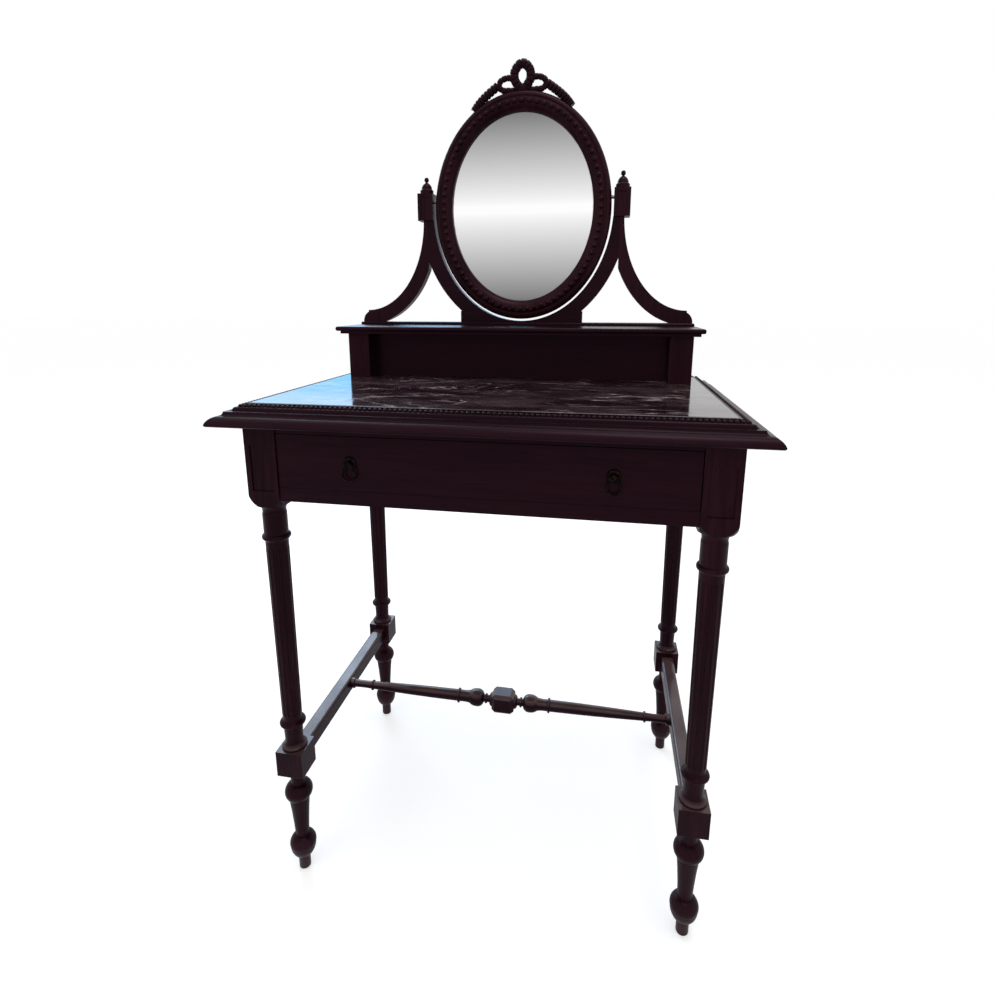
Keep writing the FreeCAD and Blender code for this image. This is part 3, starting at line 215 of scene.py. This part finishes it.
def spread(tree, value, low, high, to_low, to_high):
    """Stretch a value from one range to another and stop at its ends."""
    node = tree.nodes.new("ShaderNodeMapRange")
    node.inputs["From Min"].default_value = low
    node.inputs["From Max"].default_value = high
    node.inputs["To Min"].default_value = to_low
    node.inputs["To Max"].default_value = to_high
    tree.links.new(value, node.inputs["Value"])
    return node.outputs["Result"]


def combine(tree, operation, first, second):
    """One sum on two values, sockets or plain numbers."""
    node = tree.nodes.new("ShaderNodeMath")
    node.operation = operation
    for socket, value in zip(node.inputs, (first, second)):
        if isinstance(value, (int, float)):
            socket.default_value = value
        else:
            tree.links.new(value, socket)
    return node.outputs[0]


def blend_colours(tree, share, first, second, mode="MIX"):
    """Mix two colours, each a socket or a plain colour."""
    node = tree.nodes.new("ShaderNodeMix")
    node.data_type = "RGBA"
    node.blend_type = mode
    for socket, value in ((node.inputs[0], share), (node.inputs[6], first), (node.inputs[7], second)):
        if isinstance(value, (int, float, tuple)):
            socket.default_value = value
        else:
            tree.links.new(value, socket)
    return node.outputs[2]


def new_group(name, inputs, outputs):
    """An empty node group with named sockets."""
    tree = bpy.data.node_groups.new(name, "ShaderNodeTree")
    for label, kind in inputs:
        tree.interface.new_socket(label, in_out="INPUT", socket_type=kind)
    for label, kind in outputs:
        tree.interface.new_socket(label, in_out="OUTPUT", socket_type=kind)
    return tree, tree.nodes.new("NodeGroupInput"), tree.nodes.new("NodeGroupOutput")


grain, taken, given = new_group(
    "wood_grain",
    [("Vector", "NodeSocketVector"), ("Dark", "NodeSocketColor"), ("Light", "NodeSocketColor")],
    [("Color", "NodeSocketColor"), ("Roughness", "NodeSocketFloat"), ("Height", "NodeSocketFloat")])
figure = noise(grain, taken.outputs["Vector"], FIGURE_SCALE, 4.0, 0.8)
fibre = noise(grain, taken.outputs["Vector"], FIBRE_SCALE, 3.0, 0.2)
speckle = noise(grain, taken.outputs["Vector"], PORE_SCALE, 1.0, 0.0)
pore = spread(grain, speckle, 0.62, 0.72, 0.0, 1.0)
cloud = noise(grain, taken.outputs["Vector"], CLOUD_SCALE, 2.0, 0.0)
broad_bands = spread(grain, figure, 0.3, 0.7, 0.0, 0.7)
fine_bands = spread(grain, fibre, 0.35, 0.7, 0.0, 0.35)
bands = combine(grain, "ADD", broad_bands, fine_bands)
tone = blend_colours(grain, bands, taken.outputs["Dark"], taken.outputs["Light"])
tone = blend_colours(grain, combine(grain, "MULTIPLY", pore, 0.55), tone, PORE_COLOUR)
grain.links.new(tone, given.inputs["Color"])
cloudy_gloss = spread(grain, cloud, 0.3, 0.7, 0.2, 0.34)
fibre_gloss = spread(grain, fibre, 0.3, 0.7, 0.0, 0.07)
grain.links.new(combine(grain, "ADD", cloudy_gloss, fibre_gloss), given.inputs["Roughness"])
relief = combine(grain, "SUBTRACT", spread(grain, fibre, 0.3, 0.7, 0.0, 0.35), pore)
grain.links.new(relief, given.inputs["Height"])
print("group", grain.name, "with", len(grain.nodes), "nodes")

# %% [markdown]
# Hands and shoes rub a table in known places: the top of the stretchers, where feet rest, and the toes, which
# meet the broom. The group finds them by height and by how much a face looks up, and varies them softly. Shoes
# rub such a place paler, and they also burnish it, so the wood finish gives it more of its clear coat. The pale
# colour there is partly real rubbing and partly a painted sheen that lightens the upward stretcher faces.

# %% Wear and painted sheen group
STRETCHER_TOP = round(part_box("side_stretcher_left")[1][2], 4)
TOE_HEIGHT = 0.06

wear_and_sheen, taken, given = new_group("foot_wear_and_sheen", [("Vector", "NodeSocketVector")], [("Mask", "NodeSocketFloat")])
facing = wear_and_sheen.nodes.new("ShaderNodeNewGeometry")
up = wear_and_sheen.nodes.new("ShaderNodeSeparateXYZ")
wire(wear_and_sheen, facing, "Normal", up, "Vector")
place = wear_and_sheen.nodes.new("ShaderNodeSeparateXYZ")
wear_and_sheen.links.new(taken.outputs["Vector"], place.inputs["Vector"])
height = place.outputs["Z"]
above = spread(wear_and_sheen, height, STRETCHER_TOP - 0.0175, STRETCHER_TOP - 0.0075, 0.0, 1.0)
below = spread(wear_and_sheen, height, STRETCHER_TOP + 0.0075, STRETCHER_TOP + 0.0275, 1.0, 0.0)
rest_height = combine(wear_and_sheen, "MULTIPLY", above, below)
looks_up = spread(wear_and_sheen, up.outputs["Z"], 0.3, 0.9, 0.0, 1.0)
foot_rest = combine(wear_and_sheen, "MULTIPLY", rest_height, looks_up)
scuffed = spread(wear_and_sheen, height, 0.0, TOE_HEIGHT, 0.5, 0.0)
patches = spread(wear_and_sheen, noise(wear_and_sheen, taken.outputs["Vector"], 14.0, 3.0, 0.2), 0.3, 0.65, 0.55, 1.0)
# This mask carries real rubbing on the toes and stretcher tops, and also a painted sheen on the upward
# stretcher faces.
rubbed_and_sheen = combine(wear_and_sheen, "MULTIPLY", combine(wear_and_sheen, "MAXIMUM", foot_rest, scuffed), patches)
wear_and_sheen.links.new(rubbed_and_sheen, given.inputs["Mask"])
print("group", wear_and_sheen.name, "with", len(wear_and_sheen.nodes), "nodes")

# %% [markdown]
# A polished wood is a dark base under a clear coat. Each grain direction is a material of its own, because the
# coordinates are squeezed along another axis. Show wood is dark mahogany; hidden boards are a paler plain wood
# with no polish. The long boards of the front are darker than the turned legs, with the end boards between: a
# painted shade, since the flat front faces turn away from the window light. A bevel node rounds the look of
# every sharp edge by less than a millimetre, as sandpaper does.

# %% Wood finishes
SQUEEZE = {"x": (0.07, 1.0, 1.0), "y": (1.0, 0.07, 1.0), "z": (1.0, 1.0, 0.07)}
EDGE_RADIUS = 0.0008
GRAIN_DEPTH = 0.0004
POLISH_LEVEL = 0.09
POLISH_TINT = (1.0, 0.42, 0.66, 1.0)
WORN_DULLNESS = 0.2


def wood(name, axis, dark, light, worn_and_sheen, coat, rubbed_shine, dull):
    """A board finish with its grain along one axis."""
    finish = bpy.data.materials.new(name)
    finish.use_nodes = True
    tree = finish.node_tree
    shader = tree.nodes["Principled BSDF"]
    spot = tree.nodes.new("ShaderNodeTexCoord")
    along = tree.nodes.new("ShaderNodeMapping")
    along.inputs["Scale"].default_value = SQUEEZE[axis]
    wire(tree, spot, "Object", along, "Vector")
    board = tree.nodes.new("ShaderNodeGroup")
    board.node_tree = grain
    board.inputs["Dark"].default_value = dark
    board.inputs["Light"].default_value = light
    wire(tree, along, "Vector", board, "Vector")
    wear_sheen_node = tree.nodes.new("ShaderNodeGroup")
    wear_sheen_node.node_tree = wear_and_sheen
    wire(tree, spot, "Object", wear_sheen_node, "Vector")
    # The worn colour is partly rubbed wood and partly a painted sheen on the stretcher tops.
    colour = blend_colours(tree, wear_sheen_node.outputs["Mask"], board.outputs["Color"], worn_and_sheen)
    tree.links.new(colour, shader.inputs["Base Color"])
    rough = combine(tree, "ADD", board.outputs["Roughness"], dull)
    rough = combine(tree, "ADD", rough, combine(tree, "MULTIPLY", wear_sheen_node.outputs["Mask"], WORN_DULLNESS))
    tree.links.new(rough, shader.inputs["Roughness"])
    bump = tree.nodes.new("ShaderNodeBump")
    bump.inputs["Strength"].default_value = 0.12
    bump.inputs["Distance"].default_value = GRAIN_DEPTH
    softened = tree.nodes.new("ShaderNodeBevel")
    softened.samples = 4
    softened.inputs["Radius"].default_value = EDGE_RADIUS
    wire(tree, softened, "Normal", bump, "Normal")
    wire(tree, board, "Height", bump, "Height")
    wire(tree, bump, "Normal", shader, "Normal")
    shader.inputs["Specular IOR Level"].default_value = POLISH_LEVEL
    shader.inputs["Specular Tint"].default_value = POLISH_TINT
    shader.inputs["Coat Weight"].default_value = coat
    if rubbed_shine:
        shine = combine(tree, "ADD", combine(tree, "MULTIPLY", wear_sheen_node.outputs["Mask"], rubbed_shine), coat)
        tree.links.new(shine, shader.inputs["Coat Weight"])
    shader.inputs["Coat Roughness"].default_value = 0.12
    return finish


# The light tone is darkest for boards along the table, whose faces look to the front: painted shade, as these
# faces turn away from the window.
LIGHT_TONE = {"x": (0.016, 0.0043, 0.0075, 1.0), "y": (0.022, 0.0060, 0.0090, 1.0),
              "z": (0.026, 0.0071, 0.0102, 1.0)}
mahogany = {}
plain_wood = {}
for axis in "xyz":
    # The pale worn colour of the mahogany is lightened further as a painted sheen.
    mahogany[axis] = wood("mahogany_" + axis, axis, dark=(0.004, 0.0013, 0.0026, 1.0),
                          light=LIGHT_TONE[axis], worn_and_sheen=(0.085, 0.048, 0.049, 1.0),
                          coat=0.03, rubbed_shine=0.95, dull=0.02)
    plain_wood[axis] = wood("plain_wood_" + axis, axis, dark=(0.10, 0.055, 0.028, 1.0),
                            light=(0.22, 0.125, 0.064, 1.0), worn_and_sheen=(0.22, 0.14, 0.075, 1.0),
                            coat=0.0, rubbed_shine=0.0, dull=0.35)
print("wood finishes", sorted(mahogany), sorted(plain_wood))

# %% [markdown]
# The marble is a dark grey-brown stone with cloudy patches and pale broken streaks. Streaks are where a warped
# noise crosses its middle value: a thin band round that value is pale and the rest dark. Two sizes of streak
# are mixed, and a fine sparkle of grains keeps the polish from looking flat. The streaks take a duller polish
# and lie a little lower, and the whole face ripples slightly, so that reflections break up as on an old slab.

# %% Marble
VEIN_TURN = 32
DARK_STONE = (0.013, 0.0066, 0.0098, 1.0)
CLOUDY_STONE = (0.078, 0.051, 0.057, 1.0)
VEIN_COLOUR = (0.36, 0.28, 0.29, 1.0)
RIPPLE_DEPTH = 0.0004

marble = bpy.data.materials.new("veined_marble")
marble.use_nodes = True
stone = marble.node_tree
slab = stone.nodes["Principled BSDF"]
spot = stone.nodes.new("ShaderNodeTexCoord")
along = stone.nodes.new("ShaderNodeMapping")
along.inputs["Rotation"].default_value = (0.0, 0.0, math.radians(VEIN_TURN))
along.inputs["Scale"].default_value = (0.5, 1.0, 1.0)
wire(stone, spot, "Object", along, "Vector")
field = along.outputs["Vector"]


def streaks(scale, twist, width):
    """Pale bands where a warped noise passes its middle value."""
    past_middle = combine(stone, "SUBTRACT", noise(stone, field, scale, 9.0, twist), 0.5)
    return spread(stone, combine(stone, "ABSOLUTE", past_middle, 0.0), 0.0, width, 1.0, 0.0)


patches = spread(stone, noise(stone, field, 16.0, 12.0, 1.0), 0.42, 0.72, 0.0, 1.0)
ground = blend_colours(stone, patches, DARK_STONE, CLOUDY_STONE)
clusters = spread(stone, noise(stone, field, 6.0, 4.0, 0.6), 0.40, 0.56, 0.0, 1.0)
broken = spread(stone, noise(stone, field, 34.0, 8.0, 0.4), 0.42, 0.62, 0.0, 1.0)
large = combine(stone, "MULTIPLY", streaks(7.0, 2.2, 0.022), broken)
small = combine(stone, "MULTIPLY", streaks(21.0, 1.4, 0.024), combine(stone, "MULTIPLY", broken, clusters))
veins = combine(stone, "MAXIMUM", large, combine(stone, "MULTIPLY", small, 0.8))
ground = blend_colours(stone, combine(stone, "MULTIPLY", veins, 0.8), ground, VEIN_COLOUR)
crystals = spread(stone, noise(stone, field, 700.0, 2.0, 0.0), 0.3, 0.7, 0.75, 1.25)
ground = blend_colours(stone, 1.0, ground, crystals, "MULTIPLY")
stone.links.new(ground, slab.inputs["Base Color"])
unevenness = noise(stone, field, 60.0, 4.0, 0.0)
polish = spread(stone, unevenness, 0.3, 0.7, 0.06, 0.14)
film = combine(stone, "ADD", polish, combine(stone, "MULTIPLY", veins, 0.16))
stone.links.new(film, slab.inputs["Roughness"])
face = combine(stone, "SUBTRACT", unevenness, combine(stone, "MULTIPLY", veins, 0.25))
ripple = stone.nodes.new("ShaderNodeBump")
ripple.inputs["Strength"].default_value = 0.35
ripple.inputs["Distance"].default_value = RIPPLE_DEPTH
stone.links.new(face, ripple.inputs["Height"])
wire(stone, ripple, "Normal", slab, "Normal")
print("marble with", len(stone.nodes), "nodes")

# %% [markdown]
# Glass, rim and bow are all laid out from one oval, so its sizes are read once from the loaded mirror frame, to
# a tenth of a millimetre. The rim's moulding has a width of its own at the sides and at the top.

# %% Mirror oval
RIM_WIDE = (0.0303, 0.0315)
rim_low, rim_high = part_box("mirror_frame")
RIM_OUT = (round((rim_high[0] - rim_low[0]) / 2, 4), round((rim_high[2] - rim_low[2]) / 2, 4))
RIM_FACE = round(rim_low[1], 4)
RIM_BACK = round(rim_high[1], 4)
MIDDLE_Z = round((rim_low[2] + rim_high[2]) / 2, 4)


def rim_size(share):
    """Half width and half height of the oval at a share of the moulding's width."""
    return RIM_OUT[0] - RIM_WIDE[0] * share, RIM_OUT[1] - RIM_WIDE[1] * share


print("mirror oval", RIM_OUT, "middle height", MIDDLE_Z)

# %% [markdown]
# The silvering carries a painted reflection: its colour is bright across its middle and greyer above and below,
# as if the glass mirrored a bright band of the room. A thin dark line runs round its edge where damp creeps in
# behind the glass. Both masks come from the distance to the middle of the oval. Aged brass is a dark brown
# metal with a little gold left on it, and the hidden pivot pins are plain steel.

# %% Glass and metals
PAINTED_BAND_SILVER = (0.98, 0.98, 0.98, 1.0)
GREY_SILVER = (0.2, 0.2, 0.2, 1.0)
DAMP_EDGE = (0.10, 0.095, 0.09, 1.0)

silver = bpy.data.materials.new("silvering_painted_band")
silver.use_nodes = True
tree = silver.node_tree
shader = tree.nodes["Principled BSDF"]
spot = tree.nodes.new("ShaderNodeTexCoord")
centred = tree.nodes.new("ShaderNodeMapping")
centred.vector_type = "TEXTURE"
glass_face = round(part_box("mirror_glass")[0][1], 4)
opening = rim_size(1.0)
centred.inputs["Location"].default_value = (0.0, glass_face, MIDDLE_Z)
centred.inputs["Scale"].default_value = (opening[0], 1.0, opening[1])
wire(tree, spot, "Object", centred, "Vector")
apart = tree.nodes.new("ShaderNodeVectorMath")
apart.operation = "LENGTH"
wire(tree, centred, "Vector", apart, 0)
creep = spread(tree, noise(tree, spot.outputs["Object"], 60.0, 4.0, 0.3), 0.3, 0.7, -0.012, 0.012)
edge = combine(tree, "ADD", apart.outputs["Value"], creep)
across = tree.nodes.new("ShaderNodeSeparateXYZ")
wire(tree, centred, "Vector", across, "Vector")
# Painted reflection: a bright band across the middle of the glass, greyer above and below.
off_middle = combine(tree, "ABSOLUTE", across.outputs["Z"], 0.0)
band_falloff = combine(tree, "POWER", spread(tree, off_middle, 0.04, 1.0, 0.0, 1.0), 0.8)
shade = blend_colours(tree, band_falloff, PAINTED_BAND_SILVER, GREY_SILVER)
shade = blend_colours(tree, spread(tree, edge, 0.985, 1.02, 0.0, 0.6), shade, DAMP_EDGE)
tree.links.new(shade, shader.inputs["Base Color"])
tree.links.new(spread(tree, edge, 0.97, 1.02, 0.03, 0.2), shader.inputs["Roughness"])
shader.inputs["Metallic"].default_value = 1.0


def metal(name, bright, dark, scale):
    """A metal that is darker and duller in patches."""
    finish = bpy.data.materials.new(name)
    finish.use_nodes = True
    tree = finish.node_tree
    shader = tree.nodes["Principled BSDF"]
    spot = tree.nodes.new("ShaderNodeTexCoord")
    patina = spread(tree, noise(tree, spot.outputs["Object"], scale, 5.0, 0.4), 0.38, 0.62, 0.0, 1.0)
    tree.links.new(blend_colours(tree, patina, bright, dark), shader.inputs["Base Color"])
    tree.links.new(spread(tree, patina, 0.0, 1.0, 0.3, 0.5), shader.inputs["Roughness"])
    shader.inputs["Metallic"].default_value = 1.0
    return finish


brass = metal("aged_brass", (0.017, 0.011, 0.0092, 1.0), (0.005, 0.0034, 0.0036, 1.0), 260.0)
steel = metal("pin_steel", (0.4, 0.4, 0.4, 1.0), (0.2, 0.19, 0.18, 1.0), 300.0)
print("silvering, brass and steel made")

# %% [markdown]
# Every loaded piece now gets its finish. The grain follows the length of each board: along the table for rails
# and the drawer front, front to back for the ends, upright for the legs and posts.

# %% Finish the loaded pieces
UPRIGHT = ("leg_", "shelf_pilaster", "mirror_post", "finial", "scroll_bracket", "mirror_frame",
           "mirror_backboard")
ENDWISE = ("side_", "drawer_runner", "drawer_kicker", "top_moulding_left", "top_moulding_right",
           "bead_strip_left", "bead_strip_right", "shelf_side", "drawer_side")
SLOTS = {item["node"]: item["material_slot"] for item in frame["record"]["subparts"]}
FIXED = {"marble": marble, "silvered_glass": silver, "brass": brass, "steel": steel}
for name, piece in pieces.items():
    axis = "z" if name.startswith(UPRIGHT) else "y" if name.startswith(ENDWISE) else "x"
    woods = plain_wood if SLOTS[name] == "secondary_wood" else mahogany
    piece.data.materials.clear()
    piece.data.materials.append(FIXED.get(SLOTS[name], woods[axis]))
print("finished", len(pieces), "pieces")

# %% [markdown]
# Pearl rows are turned out of the moulding on the real table: round beads side by side, half sunk in a flat
# seat. One low ball is enough, repeated along the seat by an Array modifier that is then applied. The first and
# last bead of the front row sit on the mitres. A side row starts one step behind them and stops just short of
# the back edge.

# %% Pearl rows on the top
FRONT_PEARLS = 96
END_PEARLS = 62
END_RUN = 0.3967
PEARL_RISE = 0.0002
strip_low, strip_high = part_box("bead_strip_front")
PEARL = round((strip_high[1] - strip_low[1]) / 2, 4)
ROW_Y = round((strip_high[1] + strip_low[1]) / 2, 4)
ROW_X = round(strip_high[0] - PEARL, 4)
SEAT = round(strip_low[2] + PEARL_RISE, 4)
PITCH = 2 * ROW_X / (FRONT_PEARLS - 1)
END_PITCH = END_RUN / (END_PEARLS - 1)


def settle(piece, name, body, finish):
    """Name a finished piece, put its place into its mesh, give it its finish and let it ride."""
    bpy.ops.object.select_all(action="DESELECT")
    piece.select_set(True)
    bpy.context.view_layer.objects.active = piece
    bpy.ops.object.transform_apply(location=True, rotation=True, scale=True)
    bpy.ops.object.shade_smooth_by_angle(angle=math.radians(50))
    piece.name = name
    piece.data.name = name
    piece.data.materials.clear()
    piece.data.materials.append(finish)
    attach(piece, body)


def pearl_row(name, first, step, count, node, finish):
    """A straight row of pearls that stands for one bead strip."""
    bpy.ops.object.select_all(action="DESELECT")
    bpy.ops.mesh.primitive_uv_sphere_add(segments=12, ring_count=8, radius=PEARL, location=first)
    row = bpy.context.object
    bpy.ops.object.transform_apply(location=True, rotation=True, scale=True)
    repeat = row.modifiers.new("along_the_seat", "ARRAY")
    repeat.use_relative_offset = False
    repeat.use_constant_offset = True
    repeat.constant_offset_displace = step
    repeat.count = count
    bpy.ops.object.modifier_apply(modifier=repeat.name)
    settle(row, name, "table", finish)
    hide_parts(node)


pearl_row("pearls_front", (-ROW_X, ROW_Y, SEAT), (PITCH, 0, 0), FRONT_PEARLS, "bead_strip_front",
          mahogany["x"])
for word, side in (("left", -1), ("right", 1)):
    pearl_row("pearls_" + word, (side * ROW_X, ROW_Y + PITCH, SEAT), (0, END_PITCH, 0), END_PEARLS,
              "bead_strip_" + word, mahogany["y"])
print("three pearl rows,", FRONT_PEARLS + 2 * END_PEARLS, "pearls")

# %% [markdown]
# The mirror's rim is one moulding bent into an oval: a rolled outer edge, a shallow hollow, a flat seat for
# pearls and a slope down to the glass. A circle of many corners is stretched to the oval at the back and then
# extruded from station to station of the moulding, each time scaled a little smaller. The last loop is bridged
# back to the first. A station is a share of the moulding's width and a depth behind its face in millimetres.

# %% Mirror rim
RIM_CORNERS = 144
RIM_DEPTH = round((RIM_BACK - RIM_FACE) * 1000, 1)
RIM_STATIONS = [(0.0, RIM_DEPTH), (0.0, 9.5), (0.015, 7.2), (0.06, 4.9), (0.13, 3.1), (0.21, 2.2),
                (0.27, 2.1), (0.29, 3.1), (0.33, 3.4), (0.38, 2.6), (0.42, 1.2), (0.44, 0.4), (0.74, 0.4),
                (0.77, 1.4), (0.80, 1.9), (0.86, 3.4), (0.93, 5.4), (0.98, 6.0), (1.0, 6.4), (1.0, 11.0),
                (0.77, 11.0), (0.77, RIM_DEPTH)]

bpy.ops.object.select_all(action="DESELECT")
middle = (0.0, RIM_BACK, MIDDLE_Z)
bpy.ops.mesh.primitive_circle_add(vertices=RIM_CORNERS, radius=1.0, location=middle,
                                  rotation=(math.radians(90), 0, 0))
rim = bpy.context.object
rim.scale = (RIM_OUT[0], RIM_OUT[1], 1.0)
bpy.ops.object.transform_apply(location=True, rotation=True, scale=True)
bpy.ops.object.mode_set(mode="EDIT")
bpy.ops.mesh.select_mode(type="EDGE")
bpy.ops.mesh.select_all(action="SELECT")
last_size, last_depth = rim_size(0.0), RIM_DEPTH
for share, depth in RIM_STATIONS[1:]:
    size = rim_size(share)
    shift = (0, (depth - last_depth) / 1000, 0)
    shrink = (size[0] / last_size[0], 1.0, size[1] / last_size[1])
    bpy.ops.mesh.extrude_edges_move(TRANSFORM_OT_translate={"value": shift})
    bpy.ops.transform.resize(value=shrink, center_override=middle)
    last_size, last_depth = size, depth
bpy.ops.mesh.select_all(action="DESELECT")
bpy.ops.mesh.select_non_manifold()
bpy.ops.mesh.bridge_edge_loops()
bpy.ops.mesh.select_all(action="SELECT")
bpy.ops.mesh.normals_make_consistent(inside=False)
bpy.ops.object.mode_set(mode="OBJECT")
settle(rim, "moulded_rim", "mirror", mahogany["z"])
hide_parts("mirror_frame")
print("rim with", len(rim.data.polygons), "faces")

# %% [markdown]
# The rim's pearls follow the oval. Equal steps of angle would crowd them at the top, so the oval is walked in
# small steps and a pearl is set each time one share of its length has passed.

# %% Pearls round the glass
RIM_PEARLS = 76
RIM_PEARL = 0.0043
RIM_PEARL_SINK = 0.0004
PEARL_SHARE = 0.56
STEPS = 1440
half_x, half_z = rim_size(PEARL_SHARE)
turns = [math.radians(360 * step / STEPS) for step in range(STEPS + 1)]
walk = [Vector((half_x * math.sin(turn), half_z * math.cos(turn))) for turn in turns]
lengths = [0.0]
for before, after in zip(walk, walk[1:]):
    lengths.append(lengths[-1] + (after - before).length)
bpy.ops.object.select_all(action="DESELECT")
beads = []
for index in range(RIM_PEARLS):
    goal = lengths[-1] * index / RIM_PEARLS
    spot = next(point for point, length in zip(walk, lengths) if length >= goal)
    seat = (spot.x, RIM_FACE + RIM_PEARL_SINK, MIDDLE_Z + spot.y)
    bpy.ops.mesh.primitive_uv_sphere_add(segments=12, ring_count=8, radius=RIM_PEARL, location=seat)
    beads.append(bpy.context.object)
for bead in beads:
    bead.select_set(True)
bpy.context.view_layer.objects.active = beads[0]
bpy.ops.object.join()
settle(beads[0], "pearls_round_mirror", "mirror", mahogany["z"])
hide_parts("mirror_beads")
print("rim pearls", RIM_PEARLS, "pitch", round(lengths[-1] / RIM_PEARLS * 1000, 1), "mm")

# %% [markdown]
# The crest is a bow of gathered ribbon, pierced right through. Each loop and tail is a thick curve, turned to
# mesh, flattened front to back and then pinched at regular steps, which makes the gathers that run across a
# real ribbon. The strands are joined into one carving that stands on the rim.

# %% Ribbon bow
crest_low, crest_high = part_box("mirror_crest")
BOW_Y = round((crest_low[1] + crest_high[1]) / 2, 4)
BOW_FOOT = round(MIDDLE_Z + RIM_OUT[1], 4)
FLATNESS = 0.78
PINCH = 0.2
BEVEL_STEPS = 3
RING_CORNERS = 2 * BEVEL_STEPS + 4
MERGE = 0.000001
KNOT = 0.008


def strand(points, closed, thick, gathers):
    """One ribbon strand through points (x, height over the rim), in millimetres."""
    bpy.ops.object.select_all(action="DESELECT")
    bpy.ops.curve.primitive_bezier_curve_add(location=(0, 0, 0))
    curve = bpy.context.object
    curve.data.dimensions = "3D"
    curve.data.splines.clear()
    line = curve.data.splines.new("BEZIER")
    line.bezier_points.add(len(points) - 1)
    for knot, (x, up) in zip(line.bezier_points, points):
        knot.co = (x / 1000, BOW_Y, BOW_FOOT + up / 1000)
        knot.handle_left_type = knot.handle_right_type = "AUTO"
    line.use_cyclic_u = closed
    curve.data.resolution_u = 14
    curve.data.bevel_depth = thick / 1000
    curve.data.bevel_resolution = BEVEL_STEPS
    curve.data.use_fill_caps = True
    bpy.ops.object.convert(target="MESH")
    ribbon = bpy.context.object
    bpy.ops.object.mode_set(mode="EDIT")
    bpy.ops.mesh.select_all(action="SELECT")
    bpy.ops.mesh.remove_doubles(threshold=MERGE)
    bpy.ops.transform.resize(value=(1.0, FLATNESS, 1.0), center_override=(0, BOW_Y, BOW_FOOT))
    bpy.ops.mesh.select_all(action="DESELECT")
    bpy.ops.object.mode_set(mode="OBJECT")
    for index, vertex in enumerate(ribbon.data.vertices):
        vertex.select = (index // RING_CORNERS) % gathers == 0
    bpy.ops.object.mode_set(mode="EDIT")
    bpy.ops.mesh.select_mode(type="VERT")
    bpy.ops.transform.shrink_fatten(value=-thick / 1000 * PINCH)
    bpy.ops.mesh.select_all(action="SELECT")
    bpy.ops.mesh.normals_make_consistent(inside=False)
    bpy.ops.object.mode_set(mode="OBJECT")
    return ribbon


top_loop = [(0, 2.5), (9, 9), (13.6, 21.5), (10, 33), (0, 39.2), (-10, 33), (-13.6, 21.5), (-9, 9)]
side_loop = [(8, 6), (16, 16.5), (28, 18.5), (38.5, 11), (36, 3), (23, 0), (12, 1)]
tail = [(40, 8.5), (53, -0.5), (65, -10), (75, -20), (81.5, -29)]
strands = [strand(top_loop, True, 7.5, 8)]
for side in (-1, 1):
    strands.append(strand([(side * x, up) for x, up in side_loop], True, 4.9, 8))
    strands.append(strand([(side * x, up) for x, up in tail], False, 7.2, 6))
bpy.ops.object.select_all(action="DESELECT")
bpy.ops.mesh.primitive_uv_sphere_add(segments=24, ring_count=16, radius=KNOT,
                                     location=(0, BOW_Y - 0.0005, BOW_FOOT + 0.002))
strands.append(bpy.context.object)
strands[-1].scale = (1.25, 0.62, 1.0)
bpy.ops.object.transform_apply(location=True, rotation=True, scale=True)
for ribbon in strands:
    ribbon.select_set(True)
bpy.context.view_layer.objects.active = strands[0]
bpy.ops.object.join()
bow = strands[0]
settle(bow, "ribbon_bow", "mirror", mahogany["x"])
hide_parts("mirror_crest")
print("bow with", len(bow.data.polygons), "faces")
